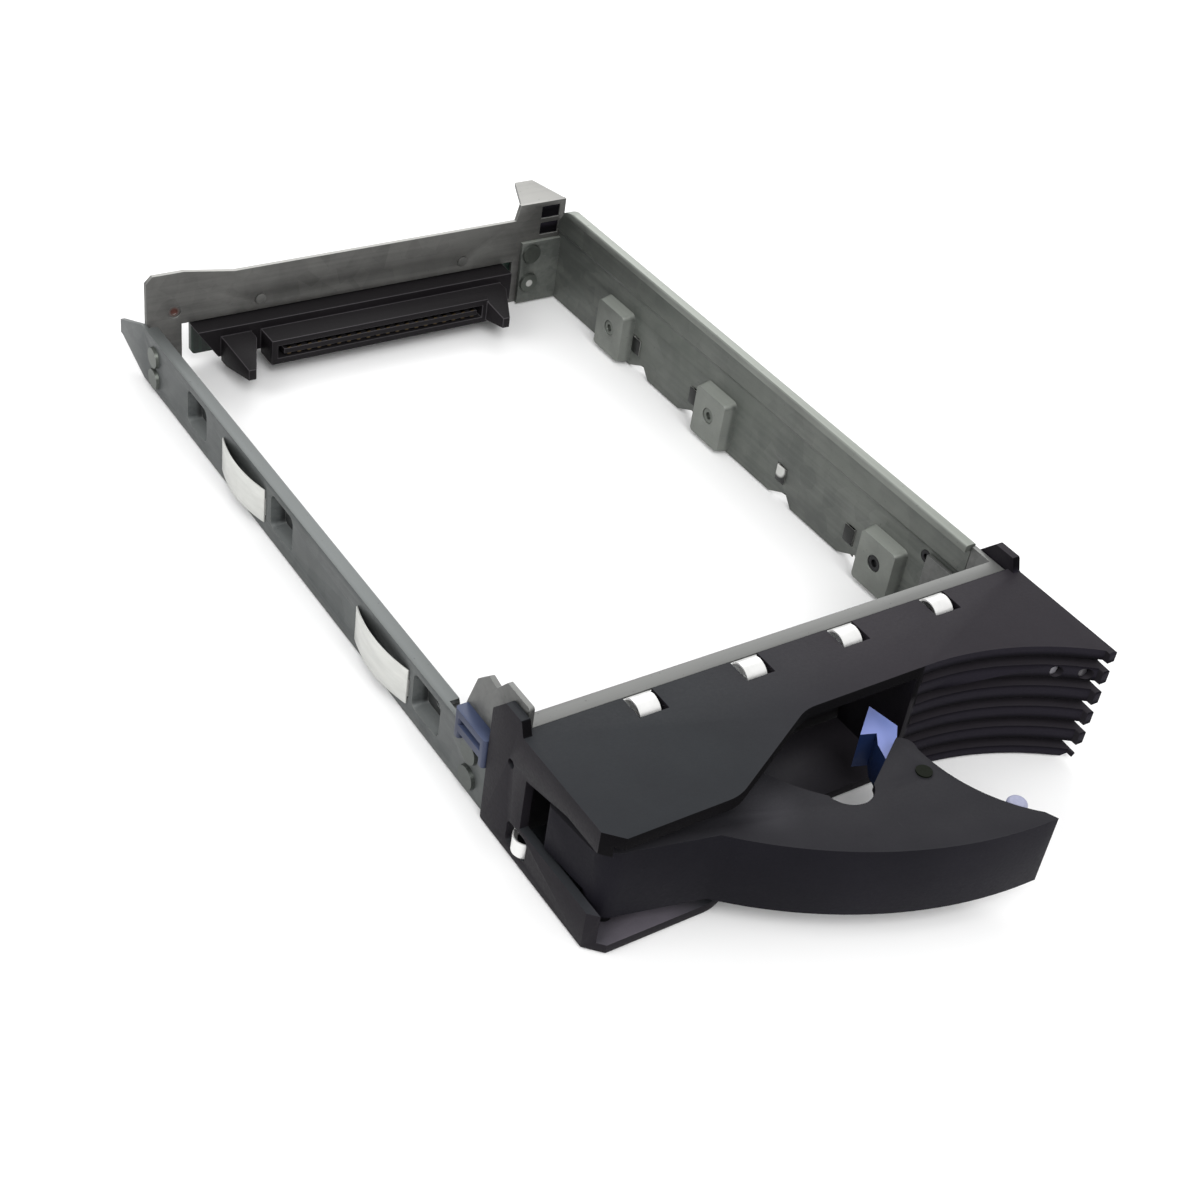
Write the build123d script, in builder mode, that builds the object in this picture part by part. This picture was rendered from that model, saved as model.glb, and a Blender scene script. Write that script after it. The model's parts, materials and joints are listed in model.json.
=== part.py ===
"""Hot swap drive caddy: a sheet metal tray with a louvred plastic bezel, a cam handle and a catch.

Frame in mm: X to the right seen from the front, Y from the bezel to the plug end, Z up from the
plane that the tray stands on. The origin is on the centre line at the bezel's front edge.
"""
import os
from math import atan2, cos, degrees, radians, sin, sqrt

from build123d import *

os.makedirs("parts", exist_ok=True)

# The drive, by the standard 3.5 inch layout
drive_width = 101.6
drive_fit = 0.15
drive_floor = 1.0
drive_gap = 2.5
front_screw_y = 58.4
drive_hole_height = 6.35
rear_hole_back = 28.5
middle_hole_back = 70.1
front_hole_back = 130.1
drive_screw_radius = 1.9

# Values that several pieces share
overrun = 2.0
seat_gap = 0.3
fit_gap = 0.05
sheet = 1.0
pad_rise = 3.05
spring_sheet = 0.3

# Bezel
bezel_height = 26.6
bezel_back = 28.0
bezel_top_wall = 2.5
bezel_bottom_wall = 1.8
cheek_wall = 1.7
cheek_back = 36.0
cheek_tab_rise = 2.8
cheek_tab_front = 26.5
cheek_tab_radius = 3.5
recess_start_share = -0.55357
recess_depth = 12.3
recess_slope_end_share = -0.14286
recess_flat_end_share = 0.35714
recess_blend = 9.0
grille_start_share = 0.325
grille_thickness = 8.0
grille_end_wall = 1.6
groove_count = 5
groove_height_share = 0.07519
groove_depth = 2.6
first_groove_drop_share = 0.12782
groove_pitch_share = 0.19173
vent_height = 1.2
vent_width_share = 0.10714
vent_pitch_share = 0.13571
vent_count = 3
vent_start_share = 0.39286
corner_chamfer = 2.6
cheek_window_back = 24.0
cheek_window_gap = 0.8
cheek_window_lip = 2.2
cheek_window_rise = 5.0
cheek_hole_radius = 0.9
cheek_hole_height_share = 0.71053
side_slot_front = 21.4
side_slot_back = 27.8
side_slot_low = 2.0
side_slot_high = 7.0
lamp_radius = 1.2
lamp_edge = 0.5
lamp_pitch = 4.9
lamp_length = 24.0

# Front wall with its two side flanges
front_wall_y = 28.4
front_wall_low = 1.0
front_flange_depth = 3.2
front_flange_drop = 0.4
left_flange_back = 52.0
ear_foot = 3.0
ear_shoulder_y = 44.4
ear_shoulder_drop = 2.0
ear_crest_y = 41.0
ear_crest_rise = 1.2
ear_dip_y = 38.4
ear_dip_rise = 0.6
ear_front_y = 35.6
ear_front_rise = 4.0
right_flange_back = 47.0
right_flange_drop = 0.8
catch_window_left_share = -0.00893
catch_window_right_share = 0.22321
catch_window_below = 1.0
catch_window_above = 1.8
wall_vent_count = 4
wall_vent_width_share = 0.06429
wall_vent_height = 12.0
wall_vent_pitch_share = 0.11429
wall_vent_start_share = 0.375

# Left rail
left_rail_front = 37.0
left_rail_height = 13.0
left_flange_width = 3.0
nose_inset = 1.5
nose_reach = 12.0
nose_low = 4.2
nose_high = 7.6

# Right rail
right_rail_front = 37.0
right_rail_height = 26.6
joggle_low = 17.8
joggle_depth = 0.8
joggle_rise = 1.2
hem_width = 2.6
hem_height = 1.6
hem_round = 0.5
rear_corner_radius = 9.0
rail_hole_y = 48.0
rail_hole_z = 15.6
rail_hole_radius = 1.5
notch_length = 8.0
notch_run = 5.6
notch_height = 2.7
rear_notch_offsets = (13.9, -7.0)
front_notch_offsets = (15.1, -9.5)

# Drive pads pressed into both rails
left_pad_length = 11.0
right_pad_length = 12.0
left_pad_height = 9.2
right_pad_height = 13.4
pad_corner = 1.6
pad_draft = 12.0

# Leaf springs on the rails
left_spring_length = 20.4
right_spring_length = 27.2
spring_height = 10.8
spring_low = 0.8
spring_bow = 1.5
spring_hook = 2.2
spring_tab_height = 4.0
hook_reach = 0.9
left_rear_spring_share = 0.42308
left_front_spring_share = 0.28
right_rear_spring_share = 0.51683
right_front_spring_share = 0.39167

# Rear panel
panel_top = 22.6
panel_left_top = 24.6
panel_slope_start_share = -0.80357
panel_slope_end_share = -0.58929
panel_corner = 1.6
left_leg_width_share = 0.14821
right_leg_width_share = 0.25
panel_window_top = 11.6
raised_width = 13.0
raised_window_width = 5.2
raised_window_inset = 1.6
raised_window_height = 3.3
upper_window_drop = 4.5
lower_window_drop = 8.9
tab_reach = 10.5
tab_end_width = 5.0
tab_inset = 3.0
left_tab_length = 15.0
panel_hole_x_share = -0.84643
panel_hole_z = 14.9
panel_hole_radius = 1.5
rear_flange_width = 12.0
insert_margin = 0.8
insert_plate = 1.2
insert_plug = 0.6

# Rivets
rivet_radius = 1.5
rivet_head_radius = 2.5
rivet_head_height = 0.7
rivet_dome = 0.3
panel_rivet_x_share = 0.81607
panel_rivet_low = 5.6
panel_rivet_high = 13.6
side_rivet_back = 8.0
side_rivet_low = 3.4
side_rivet_high = 8.8
flange_rivet_y = 42.5
flange_rivet_low = 3.6
flange_rivet_high = 9.6

# Circuit board, connectors and their screws
board_thickness = 1.6
board_half_share = 0.76786
board_low = 2.5
board_high = 20.0
board_screw_x_share = 0.47321
board_screw_z = 14.4
board_screw_radius = 1.25
board_screw_head_radius = 2.6
board_screw_head_height = 1.7
board_screw_slot = 0.7
connector_left_share = 0.78214
connector_right_share = 0.68571
connector_top = 11.2
connector_low = 4.0
connector_slope = 5.0
connector_flange_depth = 5.5
mating_half_share = 0.50714
mating_depth = 6.1
mating_low = 3.0
mating_top = 9.2
mating_slot_inset = 1.5
mating_slot_depth = 4.2
tongue_thickness = 1.3
horn_left_share = -0.61607
horn_right_share = 0.5625
horn_width = 7.4
horn_height = 6.2
horn_body = 3.0
horn_reach = 12.9
horn_tip_width = 1.8
horn_tip_height = 2.6
contact_count = 20
contact_width = 0.9
contact_thickness = 0.25
contact_length = 4.0
plug_half_share = 0.48214
plug_low = 4.6
plug_top = 11.8
plug_depth = 8.4

# Grounding fingers on the bezel's top and sides
finger_width = 4.3
finger_place_shares = (-0.58036, -0.175, 0.21429, 0.61071)
finger_notch_side = 0.9
finger_front = 23.2
finger_crown_y = 26.2
finger_rise = 0.5
finger_dip = 1.6
finger_notch_front = 0.6
strip_height = 5.4
side_finger_height = 3.4
side_finger_bow = 0.5

# Blue clip on the left flange
clip_front = 36.3
clip_back = 46.5
clip_low = 11.4
clip_top = 17.6
clip_thickness = 1.6
clip_slot_width = 1.6
clip_round = 0.7
clip_foot = 1.9

# Handle, drawn open as it stands at rest
pivot_y = 6.0
hub_radius = 4.0
handle_clear_low_share = 0.16592
handle_clear_high_share = 0.16143
handle_web = 1.5
handle_wall = 2.2
cam_reach = 12.0
cam_angle = 107.0
cam_tip_radius = 1.5
cam_inset_low_share = 0.22
cam_inset_high_share = 0.14
root_end_x_share = -0.61786
root_end_y = -1.4
rim_middle_x_share = -0.16964
rim_middle_y = -17.5
tip_x_share = 0.36429
tip_y = -23.5
tip_width = 2.2
inner_middle_x_share = 0.225
inner_middle_y = -13.0
lobe_x_share = 0.16607
lobe_y = 0.6
lobe_top_x_share = 0.13571
lobe_top_y = 4.4
notch_x_share = -0.06429
notch_y = -3.0
notch_depth_x_share = -0.12143
notch_depth_y = -5.8
throat_x_share = -0.225
throat_y = -1.8
shoulder_x_share = -0.34643
shoulder_y = 7.4
back_x_share = -0.57143
back_y = 9.6
pin_radius = 1.5
pin_seat = 1.0

# Catch lever on the handle
catch_pin_x_share = 0.11429
catch_pin_y = -4.5
catch_pin_radius = 1.2
catch_pin_head = 0.3
lever_inset_low_share = 0.26
lever_inset_high_share = 0.22
lever_hub_radius = 2.6
barb_x_share = 0.09286
barb_y = 10.3
catch_tip_x_share = 0.20893
catch_tip_y = 15.6
catch_heel_x_share = 0.23214
catch_heel_y = 9.2
catch_neck_x_share = 0.15714
catch_neck_y = 4.6
undercut_x_share = 0.14643
undercut_y = 9.3
catch_arm_x_share = 0.11429
catch_arm_y = 6.8
catch_root_x_share = 0.08571
catch_root_y = 1.6
knob_x_share = 0.33214
knob_y = -16.0
knob_radius = 1.9
knob_inset_share = 0.20513
knob_round = 0.8
thumb_width = 1.8
thumb_shift = 2.0
coil_wire = 0.5
coil_turns = 3

# Places worked out from the values above
drive_half = drive_width / 2 + drive_fit
web_inner = drive_half + pad_rise
rail_half = web_inner + sheet
cheek_inner = web_inner + seat_gap
bezel_half = cheek_inner + cheek_wall
screw_z = drive_floor + drive_hole_height
drive_end = front_screw_y + front_hole_back
drive_hole_places = [drive_end - back for back in (rear_hole_back, middle_hole_back, front_hole_back)]
rear_span = middle_hole_back - rear_hole_back
front_span = front_hole_back - middle_hole_back
middle_screw_y = front_screw_y + front_span
left_rear_spring_y = middle_screw_y + left_rear_spring_share * rear_span
left_front_spring_y = front_screw_y + left_front_spring_share * front_span
right_rear_spring_y = middle_screw_y + right_rear_spring_share * rear_span
right_front_spring_y = front_screw_y + right_front_spring_share * front_span
notch_rear_ends = [right_rear_spring_y + offset for offset in rear_notch_offsets]
notch_rear_ends += [right_front_spring_y + offset for offset in front_notch_offsets]
panel_outer = drive_end + drive_gap
nose_start = panel_outer - nose_inset
nose_end = panel_outer + nose_reach
left_tab_front = panel_outer - left_tab_length
side_rivet_y = panel_outer - side_rivet_back
connector_flange_front = panel_outer - connector_flange_depth
mating_front = connector_flange_front - mating_depth
horn_front = connector_flange_front - horn_reach
plate_underside = bezel_height - bezel_top_wall
recess_start_x = recess_start_share * bezel_half
recess_slope_end = recess_slope_end_share * bezel_half
recess_flat_end = recess_flat_end_share * bezel_half
grille_start = grille_start_share * bezel_half
arc_span = bezel_half - recess_flat_end
arc_radius = (arc_span**2 + recess_depth**2) / (2 * recess_depth)
arc_centre_y = recess_depth - arc_radius
groove_height = groove_height_share * bezel_height
groove_pitch = groove_pitch_share * bezel_height
first_groove_z = bezel_height - first_groove_drop_share * bezel_height
groove_heights = [first_groove_z - i * groove_pitch for i in range(groove_count)]
vent_start = vent_start_share * bezel_half
vent_pitch = vent_pitch_share * bezel_half
vent_width = vent_width_share * bezel_half
lamp_z = (groove_heights[0] + groove_heights[1]) / 2
fault_lamp_x = cheek_inner - lamp_radius - lamp_edge
activity_lamp_x = fault_lamp_x - lamp_pitch
finger_places = [share * bezel_half for share in finger_place_shares]
pivot_x = hub_radius + seat_gap - cheek_inner
bezel_room = plate_underside - bezel_bottom_wall
handle_low = bezel_bottom_wall + handle_clear_low_share * bezel_room
handle_high = plate_underside - handle_clear_high_share * bezel_room
handle_height = handle_high - handle_low
cam_low = handle_low + cam_inset_low_share * handle_height
cam_high = handle_high - cam_inset_high_share * handle_height
lever_low = handle_low + lever_inset_low_share * handle_height
lever_high = handle_high - lever_inset_high_share * handle_height
knob_low = lever_low + knob_inset_share * (lever_high - lever_low)
knob_high = handle_high - handle_web - seat_gap
root_end_x = root_end_x_share * bezel_half
rim_middle_x = rim_middle_x_share * bezel_half
tip_x = tip_x_share * bezel_half
inner_middle_x = inner_middle_x_share * bezel_half
lobe_x = lobe_x_share * bezel_half
lobe_top_x = lobe_top_x_share * bezel_half
notch_x = notch_x_share * bezel_half
notch_depth_x = notch_depth_x_share * bezel_half
throat_x = throat_x_share * bezel_half
shoulder_x = shoulder_x_share * bezel_half
back_x = back_x_share * bezel_half
catch_pin_x = catch_pin_x_share * bezel_half
barb_x = barb_x_share * bezel_half
catch_tip_x = catch_tip_x_share * bezel_half
catch_heel_x = catch_heel_x_share * bezel_half
catch_neck_x = catch_neck_x_share * bezel_half
knob_x = knob_x_share * bezel_half
undercut_x = undercut_x_share * bezel_half
catch_arm_x = catch_arm_x_share * bezel_half
catch_root_x = catch_root_x_share * bezel_half
cheek_window_low = cam_low - cheek_window_gap
cheek_hole_height = cheek_hole_height_share * bezel_height
cheek_tab_top = bezel_height + cheek_tab_rise
front_wall_back = front_wall_y + sheet
front_wall_top = bezel_height - front_flange_drop
catch_window_left = catch_window_left_share * bezel_half
catch_window_right = catch_window_right_share * bezel_half
catch_window_low = lever_low - catch_window_below
catch_window_high = lever_high + catch_window_above
wall_vent_start = wall_vent_start_share * bezel_half
wall_vent_pitch = wall_vent_pitch_share * bezel_half
wall_vent_width = wall_vent_width_share * bezel_half
right_flange_top = joggle_low - right_flange_drop
raised_top = right_rail_height
panel_left = web_inner - panel_corner
panel_inner = panel_outer - sheet
rear_flange_inner = panel_inner - sheet
left_leg_edge = left_leg_width_share * bezel_half - web_inner
right_leg_edge = rail_half - right_leg_width_share * bezel_half
raised_left = rail_half - raised_width
window_middle = rail_half - raised_window_inset - raised_window_width / 2
window_lows = [raised_top - drop for drop in (lower_window_drop, upper_window_drop)]
panel_slope_start = panel_slope_start_share * bezel_half
panel_slope_end = panel_slope_end_share * bezel_half
panel_hole_x = panel_hole_x_share * bezel_half
panel_rivet_x = panel_rivet_x_share * bezel_half
board_back = panel_outer + board_thickness
board_half = board_half_share * bezel_half
board_screw_x = board_screw_x_share * bezel_half
connector_left = connector_left_share * bezel_half
connector_right = connector_right_share * bezel_half
mating_half = mating_half_share * bezel_half
connector_middle = (mating_low + mating_top) / 2
plug_half = plug_half_share * bezel_half
plug_middle = (plug_low + plug_top) / 2
plug_back = board_back + plug_depth
spring_tab_low = spring_low + (spring_height - spring_tab_height) / 2


def plane_at_x(x):
    """Plane whose own axes are Y and Z, facing +X."""
    return Plane.YZ.offset(x)


def plane_at_y(y):
    """Plane whose own axes are X and Z, facing -Y."""
    return Plane.XZ.offset(-y)


def plane_at_z(z):
    """Plane whose own axes are X and Y, facing +Z."""
    return Plane.XY.offset(z)


def arc_front(x):
    """Y of the grille's front arc at x."""
    return arc_centre_y + sqrt(arc_radius**2 - (x - recess_flat_end)**2)


def box_between(x0, x1, y0, y1, z0, z1, mode=Mode.ADD):
    """Box between two corners, added to or cut from the part being built."""
    with Locations(((x0 + x1) / 2, (y0 + y1) / 2, (z0 + z1) / 2)):
        Box(abs(x1 - x0), abs(y1 - y0), abs(z1 - z0), mode=mode)


def save(piece, name):
    """Names the piece and writes its file."""
    piece.part.label = name
    export_step(piece.part, f"parts/{name}.step")


def pressed_pad(side, y, length, height, low):
    """Drafted pad pressed from one rail's web towards the drive."""
    face = plane_at_x(side * web_inner)
    if side > 0:
        face = Plane(face.origin, x_dir=(0, 1, 0), z_dir=(-side, 0, 0))
    flip = -side
    with BuildSketch(face) as outline:
        with Locations((y, flip * (low + height / 2))):
            RectangleRounded(length, height, pad_corner)
    extrude(outline.sketch, amount=pad_rise, taper=pad_draft)
    inner_face = Plane(face.origin + Vector(side * sheet, 0, 0), x_dir=face.x_dir, z_dir=face.z_dir)
    with BuildSketch(inner_face) as hollow:
        with Locations((y, flip * (low + height / 2))):
            RectangleRounded(length - sheet, height - sheet, pad_corner)
    extrude(hollow.sketch, amount=pad_rise, taper=pad_draft, mode=Mode.SUBTRACT)


def spring_windows(side, centre, length):
    """Two small windows in a rail for the hooks of one leaf spring."""
    for end in (-1, 1):
        outer = centre + end * (length / 2 + seat_gap)
        inner = centre + end * (length / 2 - spring_hook)
        box_between(side * (web_inner - overrun / 4), side * (rail_half + overrun), outer, inner,
                    spring_tab_low - seat_gap, spring_tab_low + spring_tab_height + seat_gap,
                    mode=Mode.SUBTRACT)


def side_spring(side, centre, length):
    """Bowed leaf spring with two hooks that reach through the rail."""
    front = centre - length / 2
    back = centre + length / 2
    inner = side * (rail_half + fit_gap)
    outer = inner + side * spring_sheet
    crown = side * spring_bow
    hook_x = side * (web_inner - fit_gap)
    hook_back = hook_x - side * spring_sheet
    hook_top = spring_tab_low + spring_tab_height
    with BuildPart() as spring:
        with BuildSketch(plane_at_z(spring_low)):
            with BuildLine():
                ThreePointArc((inner, front), (inner + crown, centre), (inner, back))
                Line((inner, back), (outer, back))
                ThreePointArc((outer, back), (outer + crown, centre), (outer, front))
                Line((outer, front), (inner, front))
            make_face()
        extrude(amount=spring_height)
        for end, inwards in ((front, 1), (back, -1)):
            box_between(hook_back, outer, end, end + inwards * spring_sheet, spring_tab_low, hook_top)
            box_between(hook_back, hook_x, end, end + inwards * (spring_hook + hook_reach), spring_tab_low,
                        hook_top)
    return spring


def rivet(place, direction, grip):
    """Domed rivet whose head seats at place and whose shank runs back along direction."""
    seat = Plane(origin=place, z_dir=direction)
    with BuildSketch(seat) as head:
        Circle(rivet_head_radius)
    extrude(head.sketch, amount=rivet_head_height, taper=pad_draft)
    with BuildSketch(seat) as shank:
        Circle(rivet_radius)
    extrude(shank.sketch, amount=-grip)
    with BuildSketch(seat.offset(-grip)) as tail:
        Circle(rivet_head_radius - rivet_dome)
    extrude(tail.sketch, amount=-rivet_dome)


# Left rail: web, top flange, nose, pads and spring windows
with BuildPart() as left_rail:
    with BuildSketch(plane_at_x(-rail_half)):
        with BuildLine():
            Polyline((left_rail_front, 0), (nose_start, 0), (nose_end - sheet, nose_low),
                     (nose_end, nose_low), (nose_end, nose_high), (nose_start + sheet, left_rail_height),
                     (left_rail_front, left_rail_height), close=True)
        make_face()
    extrude(amount=sheet)
    box_between(-rail_half, left_flange_width - rail_half, left_flange_back + seat_gap, nose_start - sheet,
                left_rail_height - sheet, left_rail_height)
    for hole_y in drive_hole_places:
        pressed_pad(-1, hole_y, left_pad_length, left_pad_height, screw_z - left_pad_height / 2)
    with BuildSketch(plane_at_x(-rail_half - overrun)):
        with Locations(*[(hole_y, screw_z) for hole_y in drive_hole_places]):
            Circle(drive_screw_radius)
        with Locations((side_rivet_y, side_rivet_low), (side_rivet_y, side_rivet_high),
                       (flange_rivet_y, flange_rivet_low), (flange_rivet_y, flange_rivet_high)):
            Circle(rivet_radius + fit_gap)
    extrude(amount=rail_half, mode=Mode.SUBTRACT)
    spring_windows(-1, left_rear_spring_y, left_spring_length)
    spring_windows(-1, left_front_spring_y, left_spring_length)
save(left_rail, "left_rail")

# Right rail: joggled web with a hemmed top, rounded rear corner, pads, windows and a rear flange
with BuildPart() as right_rail:
    upper = rail_half - joggle_depth
    joggle_top = joggle_low + joggle_rise
    hem_low = right_rail_height - hem_height
    with BuildSketch(plane_at_y(panel_inner)):
        with BuildLine():
            Polyline((rail_half, 0), (rail_half, joggle_low), (upper, joggle_top),
                     (upper, right_rail_height), (upper - hem_width, right_rail_height),
                     (upper - hem_width, hem_low), (upper - sheet, hem_low), (upper - sheet, joggle_top),
                     (web_inner, joggle_low), (web_inner, 0), close=True)
        make_face()
    extrude(amount=panel_inner - right_rail_front)
    fillet(right_rail.edges().filter_by(Axis.Y).group_by(Axis.Z)[-1], hem_round)
    with BuildSketch(plane_at_x(rail_half - 2 * hem_width)):
        with BuildLine():
            corner_front = panel_inner - rear_corner_radius
            corner_low = right_rail_height - rear_corner_radius
            RadiusArc((corner_front, right_rail_height), (panel_inner, corner_low), rear_corner_radius)
            Polyline((panel_inner, corner_low), (panel_inner + overrun, corner_low),
                     (panel_inner + overrun, right_rail_height + overrun),
                     (corner_front, right_rail_height + overrun), (corner_front, right_rail_height))
        make_face()
    extrude(amount=3 * hem_width, mode=Mode.SUBTRACT)
    box_between(rail_half - rear_flange_width, rail_half, rear_flange_inner, panel_inner, 0,
                corner_low - sheet)
    for hole_y in drive_hole_places:
        pressed_pad(1, hole_y, right_pad_length, right_pad_height, 0)
    for rear_end in notch_rear_ends:
        with BuildSketch(plane_at_x(web_inner - sheet)):
            with BuildLine():
                Polyline((rear_end, -overrun), (rear_end, 0), (rear_end - notch_run, notch_height),
                         (rear_end - notch_length, 0), (rear_end - notch_length, -overrun), close=True)
            make_face()
        extrude(amount=2 * sheet + overrun, mode=Mode.SUBTRACT)
    with BuildSketch(plane_at_x(drive_half - overrun)):
        with Locations(*[(hole_y, screw_z) for hole_y in drive_hole_places]):
            Circle(drive_screw_radius)
        with Locations((flange_rivet_y, flange_rivet_low), (flange_rivet_y, flange_rivet_high)):
            Circle(rivet_radius + fit_gap)
        with Locations((rail_hole_y, rail_hole_z)):
            Circle(rail_hole_radius)
    extrude(amount=rail_half, mode=Mode.SUBTRACT)
    with BuildSketch(plane_at_y(panel_inner + overrun)):
        with Locations((panel_rivet_x, panel_rivet_low), (panel_rivet_x, panel_rivet_high)):
            Circle(rivet_radius + fit_gap)
    extrude(amount=2 * overrun, mode=Mode.SUBTRACT)
    spring_windows(1, right_rear_spring_y, right_spring_length)
    spring_windows(1, right_front_spring_y, right_spring_length)
save(right_rail, "right_rail")

# Rear panel: two legs, a window for the connector, a raised end with a tapered tab, a side flange
with BuildPart() as rear_panel:
    with BuildSketch(plane_at_y(panel_outer)):
        with BuildLine():
            Polyline((-web_inner, 0), (left_leg_edge, 0), (left_leg_edge, panel_window_top),
                     (right_leg_edge, panel_window_top), (right_leg_edge, 0), (rail_half, 0),
                     (rail_half, raised_top), (raised_left, raised_top), (raised_left - sheet, panel_top),
                     (panel_slope_end, panel_top), (panel_slope_start, panel_left_top),
                     (-panel_left, panel_left_top), (-web_inner, panel_left_top - panel_corner), close=True)
        make_face()
        for window_low in window_lows:
            with Locations((window_middle, window_low + raised_window_height / 2)):
                Rectangle(raised_window_width, raised_window_height, mode=Mode.SUBTRACT)
        with Locations((panel_hole_x, panel_hole_z)):
            Circle(panel_hole_radius, mode=Mode.SUBTRACT)
        with Locations((panel_rivet_x, panel_rivet_low), (panel_rivet_x, panel_rivet_high)):
            Circle(rivet_radius + fit_gap, mode=Mode.SUBTRACT)
        with Locations((-board_screw_x, board_screw_z), (board_screw_x, board_screw_z)):
            Circle(board_screw_radius + fit_gap, mode=Mode.SUBTRACT)
    extrude(amount=sheet)
    with BuildSketch(plane_at_z(raised_top - sheet)):
        with BuildLine():
            Polyline((raised_left, panel_inner), (rail_half, panel_inner),
                     (rail_half - tab_inset, panel_outer + tab_reach),
                     (rail_half - tab_inset - tab_end_width, panel_outer + tab_reach), close=True)
        make_face()
    extrude(amount=sheet)
    box_between(-web_inner, sheet - web_inner, left_tab_front, panel_inner, 0,
                left_rail_height - sheet - seat_gap)
    with BuildSketch(plane_at_x(-rail_half)):
        with Locations((side_rivet_y, side_rivet_low), (side_rivet_y, side_rivet_high)):
            Circle(rivet_radius + fit_gap)
    extrude(amount=2 * overrun, mode=Mode.SUBTRACT)
save(rear_panel, "rear_panel")

# Insert that closes the panel's two windows from behind
with BuildPart() as window_insert:
    insert_half = raised_window_width / 2 + insert_margin
    box_between(window_middle - insert_half, window_middle + insert_half, panel_outer,
                panel_outer + insert_plate, window_lows[0] - insert_margin, raised_top - sheet - seat_gap)
    fillet(window_insert.edges().filter_by(Axis.Y), insert_margin / 2)
    plug_half_width = raised_window_width / 2 - fit_gap
    for window_low in window_lows:
        box_between(window_middle - plug_half_width, window_middle + plug_half_width,
                    panel_outer - insert_plug, panel_outer, window_low + fit_gap,
                    window_low + raised_window_height - fit_gap)
save(window_insert, "window_insert")

# Rivets that hold the panel to the rails
with BuildPart() as rear_rivets:
    for rivet_z in (panel_rivet_low, panel_rivet_high):
        rivet((panel_rivet_x, rear_flange_inner, rivet_z), (0, -1, 0), 2 * sheet)
    for rivet_z in (side_rivet_low, side_rivet_high):
        rivet((-rail_half, side_rivet_y, rivet_z), (-1, 0, 0), 2 * sheet)
save(rear_rivets, "rear_rivets")

# Front wall: plate with the catch's window, vents, top flange and the two side flanges
with BuildPart() as front_wall:
    box_between(-web_inner, web_inner, front_wall_y, front_wall_back, front_wall_low, front_wall_top)
    box_between(-web_inner, web_inner, front_wall_y, front_wall_y + front_flange_depth,
                front_wall_top - sheet, front_wall_top)
    with BuildSketch(plane_at_x(-web_inner)):
        with BuildLine():
            FilletPolyline((front_wall_y, front_wall_low), (left_flange_back, front_wall_low),
                           (left_flange_back, left_rail_height - sheet - seat_gap),
                           (left_flange_back - ear_foot, left_rail_height - sheet - seat_gap),
                           (ear_shoulder_y, bezel_height - ear_shoulder_drop),
                           (ear_crest_y, bezel_height + ear_crest_rise),
                           (ear_dip_y, bezel_height + ear_dip_rise),
                           (ear_front_y, bezel_height + ear_front_rise),
                           (front_wall_y, bezel_height + ear_front_rise), close=True, radius=sheet / 2)
        make_face()
    extrude(amount=sheet)
    box_between(web_inner - sheet, web_inner, front_wall_y, right_flange_back, front_wall_low,
                right_flange_top)
    box_between(web_inner - sheet, web_inner, front_wall_y, right_rail_front - seat_gap, front_wall_low,
                front_wall_top)
    box_between(catch_window_left, catch_window_right, front_wall_y - overrun, front_wall_back + overrun,
                catch_window_low, catch_window_high, mode=Mode.SUBTRACT)
    for i in range(wall_vent_count):
        vent_left = wall_vent_start + i * wall_vent_pitch
        box_between(vent_left, vent_left + wall_vent_width, front_wall_y - overrun, front_wall_back + overrun,
                    (bezel_height - wall_vent_height) / 2, (bezel_height + wall_vent_height) / 2,
                    mode=Mode.SUBTRACT)
    with BuildSketch(plane_at_y(front_wall_back + overrun)):
        with Locations((activity_lamp_x, lamp_z), (fault_lamp_x, lamp_z)):
            Circle(lamp_radius + seat_gap)
    extrude(amount=3 * overrun, mode=Mode.SUBTRACT)
    with BuildSketch(plane_at_x(-rail_half)):
        with Locations((flange_rivet_y, flange_rivet_low), (flange_rivet_y, flange_rivet_high)):
            Circle(rivet_radius + fit_gap)
    extrude(amount=2 * rail_half, mode=Mode.SUBTRACT)
save(front_wall, "front_wall")

# Rivets that hold the front wall's flanges to the rails
with BuildPart() as front_rivets:
    for side in (-1, 1):
        for rivet_z in (flange_rivet_low, flange_rivet_high):
            rivet((side * rail_half, flange_rivet_y, rivet_z), (side, 0, 0), 2 * sheet)
save(front_rivets, "front_rivets")


def bezel_plan():
    """Outline of the bezel seen from above, with the curved recess in its front edge."""
    with BuildLine() as outline:
        Line((-bezel_half, bezel_back), (-bezel_half, 0))
        FilletPolyline((-bezel_half, 0), (recess_start_x, 0), (recess_slope_end, recess_depth),
                       (recess_flat_end, recess_depth), radius=recess_blend)
        TangentArc((recess_flat_end, recess_depth), (bezel_half, 0), tangent=(1, 0))
        Polyline((bezel_half, 0), (bezel_half, bezel_back), (-bezel_half, bezel_back))
    make_face(outline.edges())


def grille_band(inner, outer, left, right):
    """Band that follows the grille's arc, between two depths behind it and two places in X."""
    with Locations((recess_flat_end, arc_centre_y)):
        Circle(arc_radius + outer)
        Circle(arc_radius + inner, mode=Mode.SUBTRACT)
    with Locations(((left + right) / 2, bezel_back / 2)):
        Rectangle(right - left, bezel_back + overrun, mode=Mode.INTERSECT)


def cheek_outline():
    """Side view of one cheek with its rounded tab."""
    with BuildLine() as outline:
        FilletPolyline((cheek_tab_front, bezel_height), (cheek_tab_front + sheet, cheek_tab_top),
                       (cheek_back - cheek_tab_radius, cheek_tab_top), (cheek_back, bezel_height - sheet),
                       (cheek_back, 0), (0, 0), (0, bezel_height), close=True, radius=sheet / 2)
    make_face(outline.edges())


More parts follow.
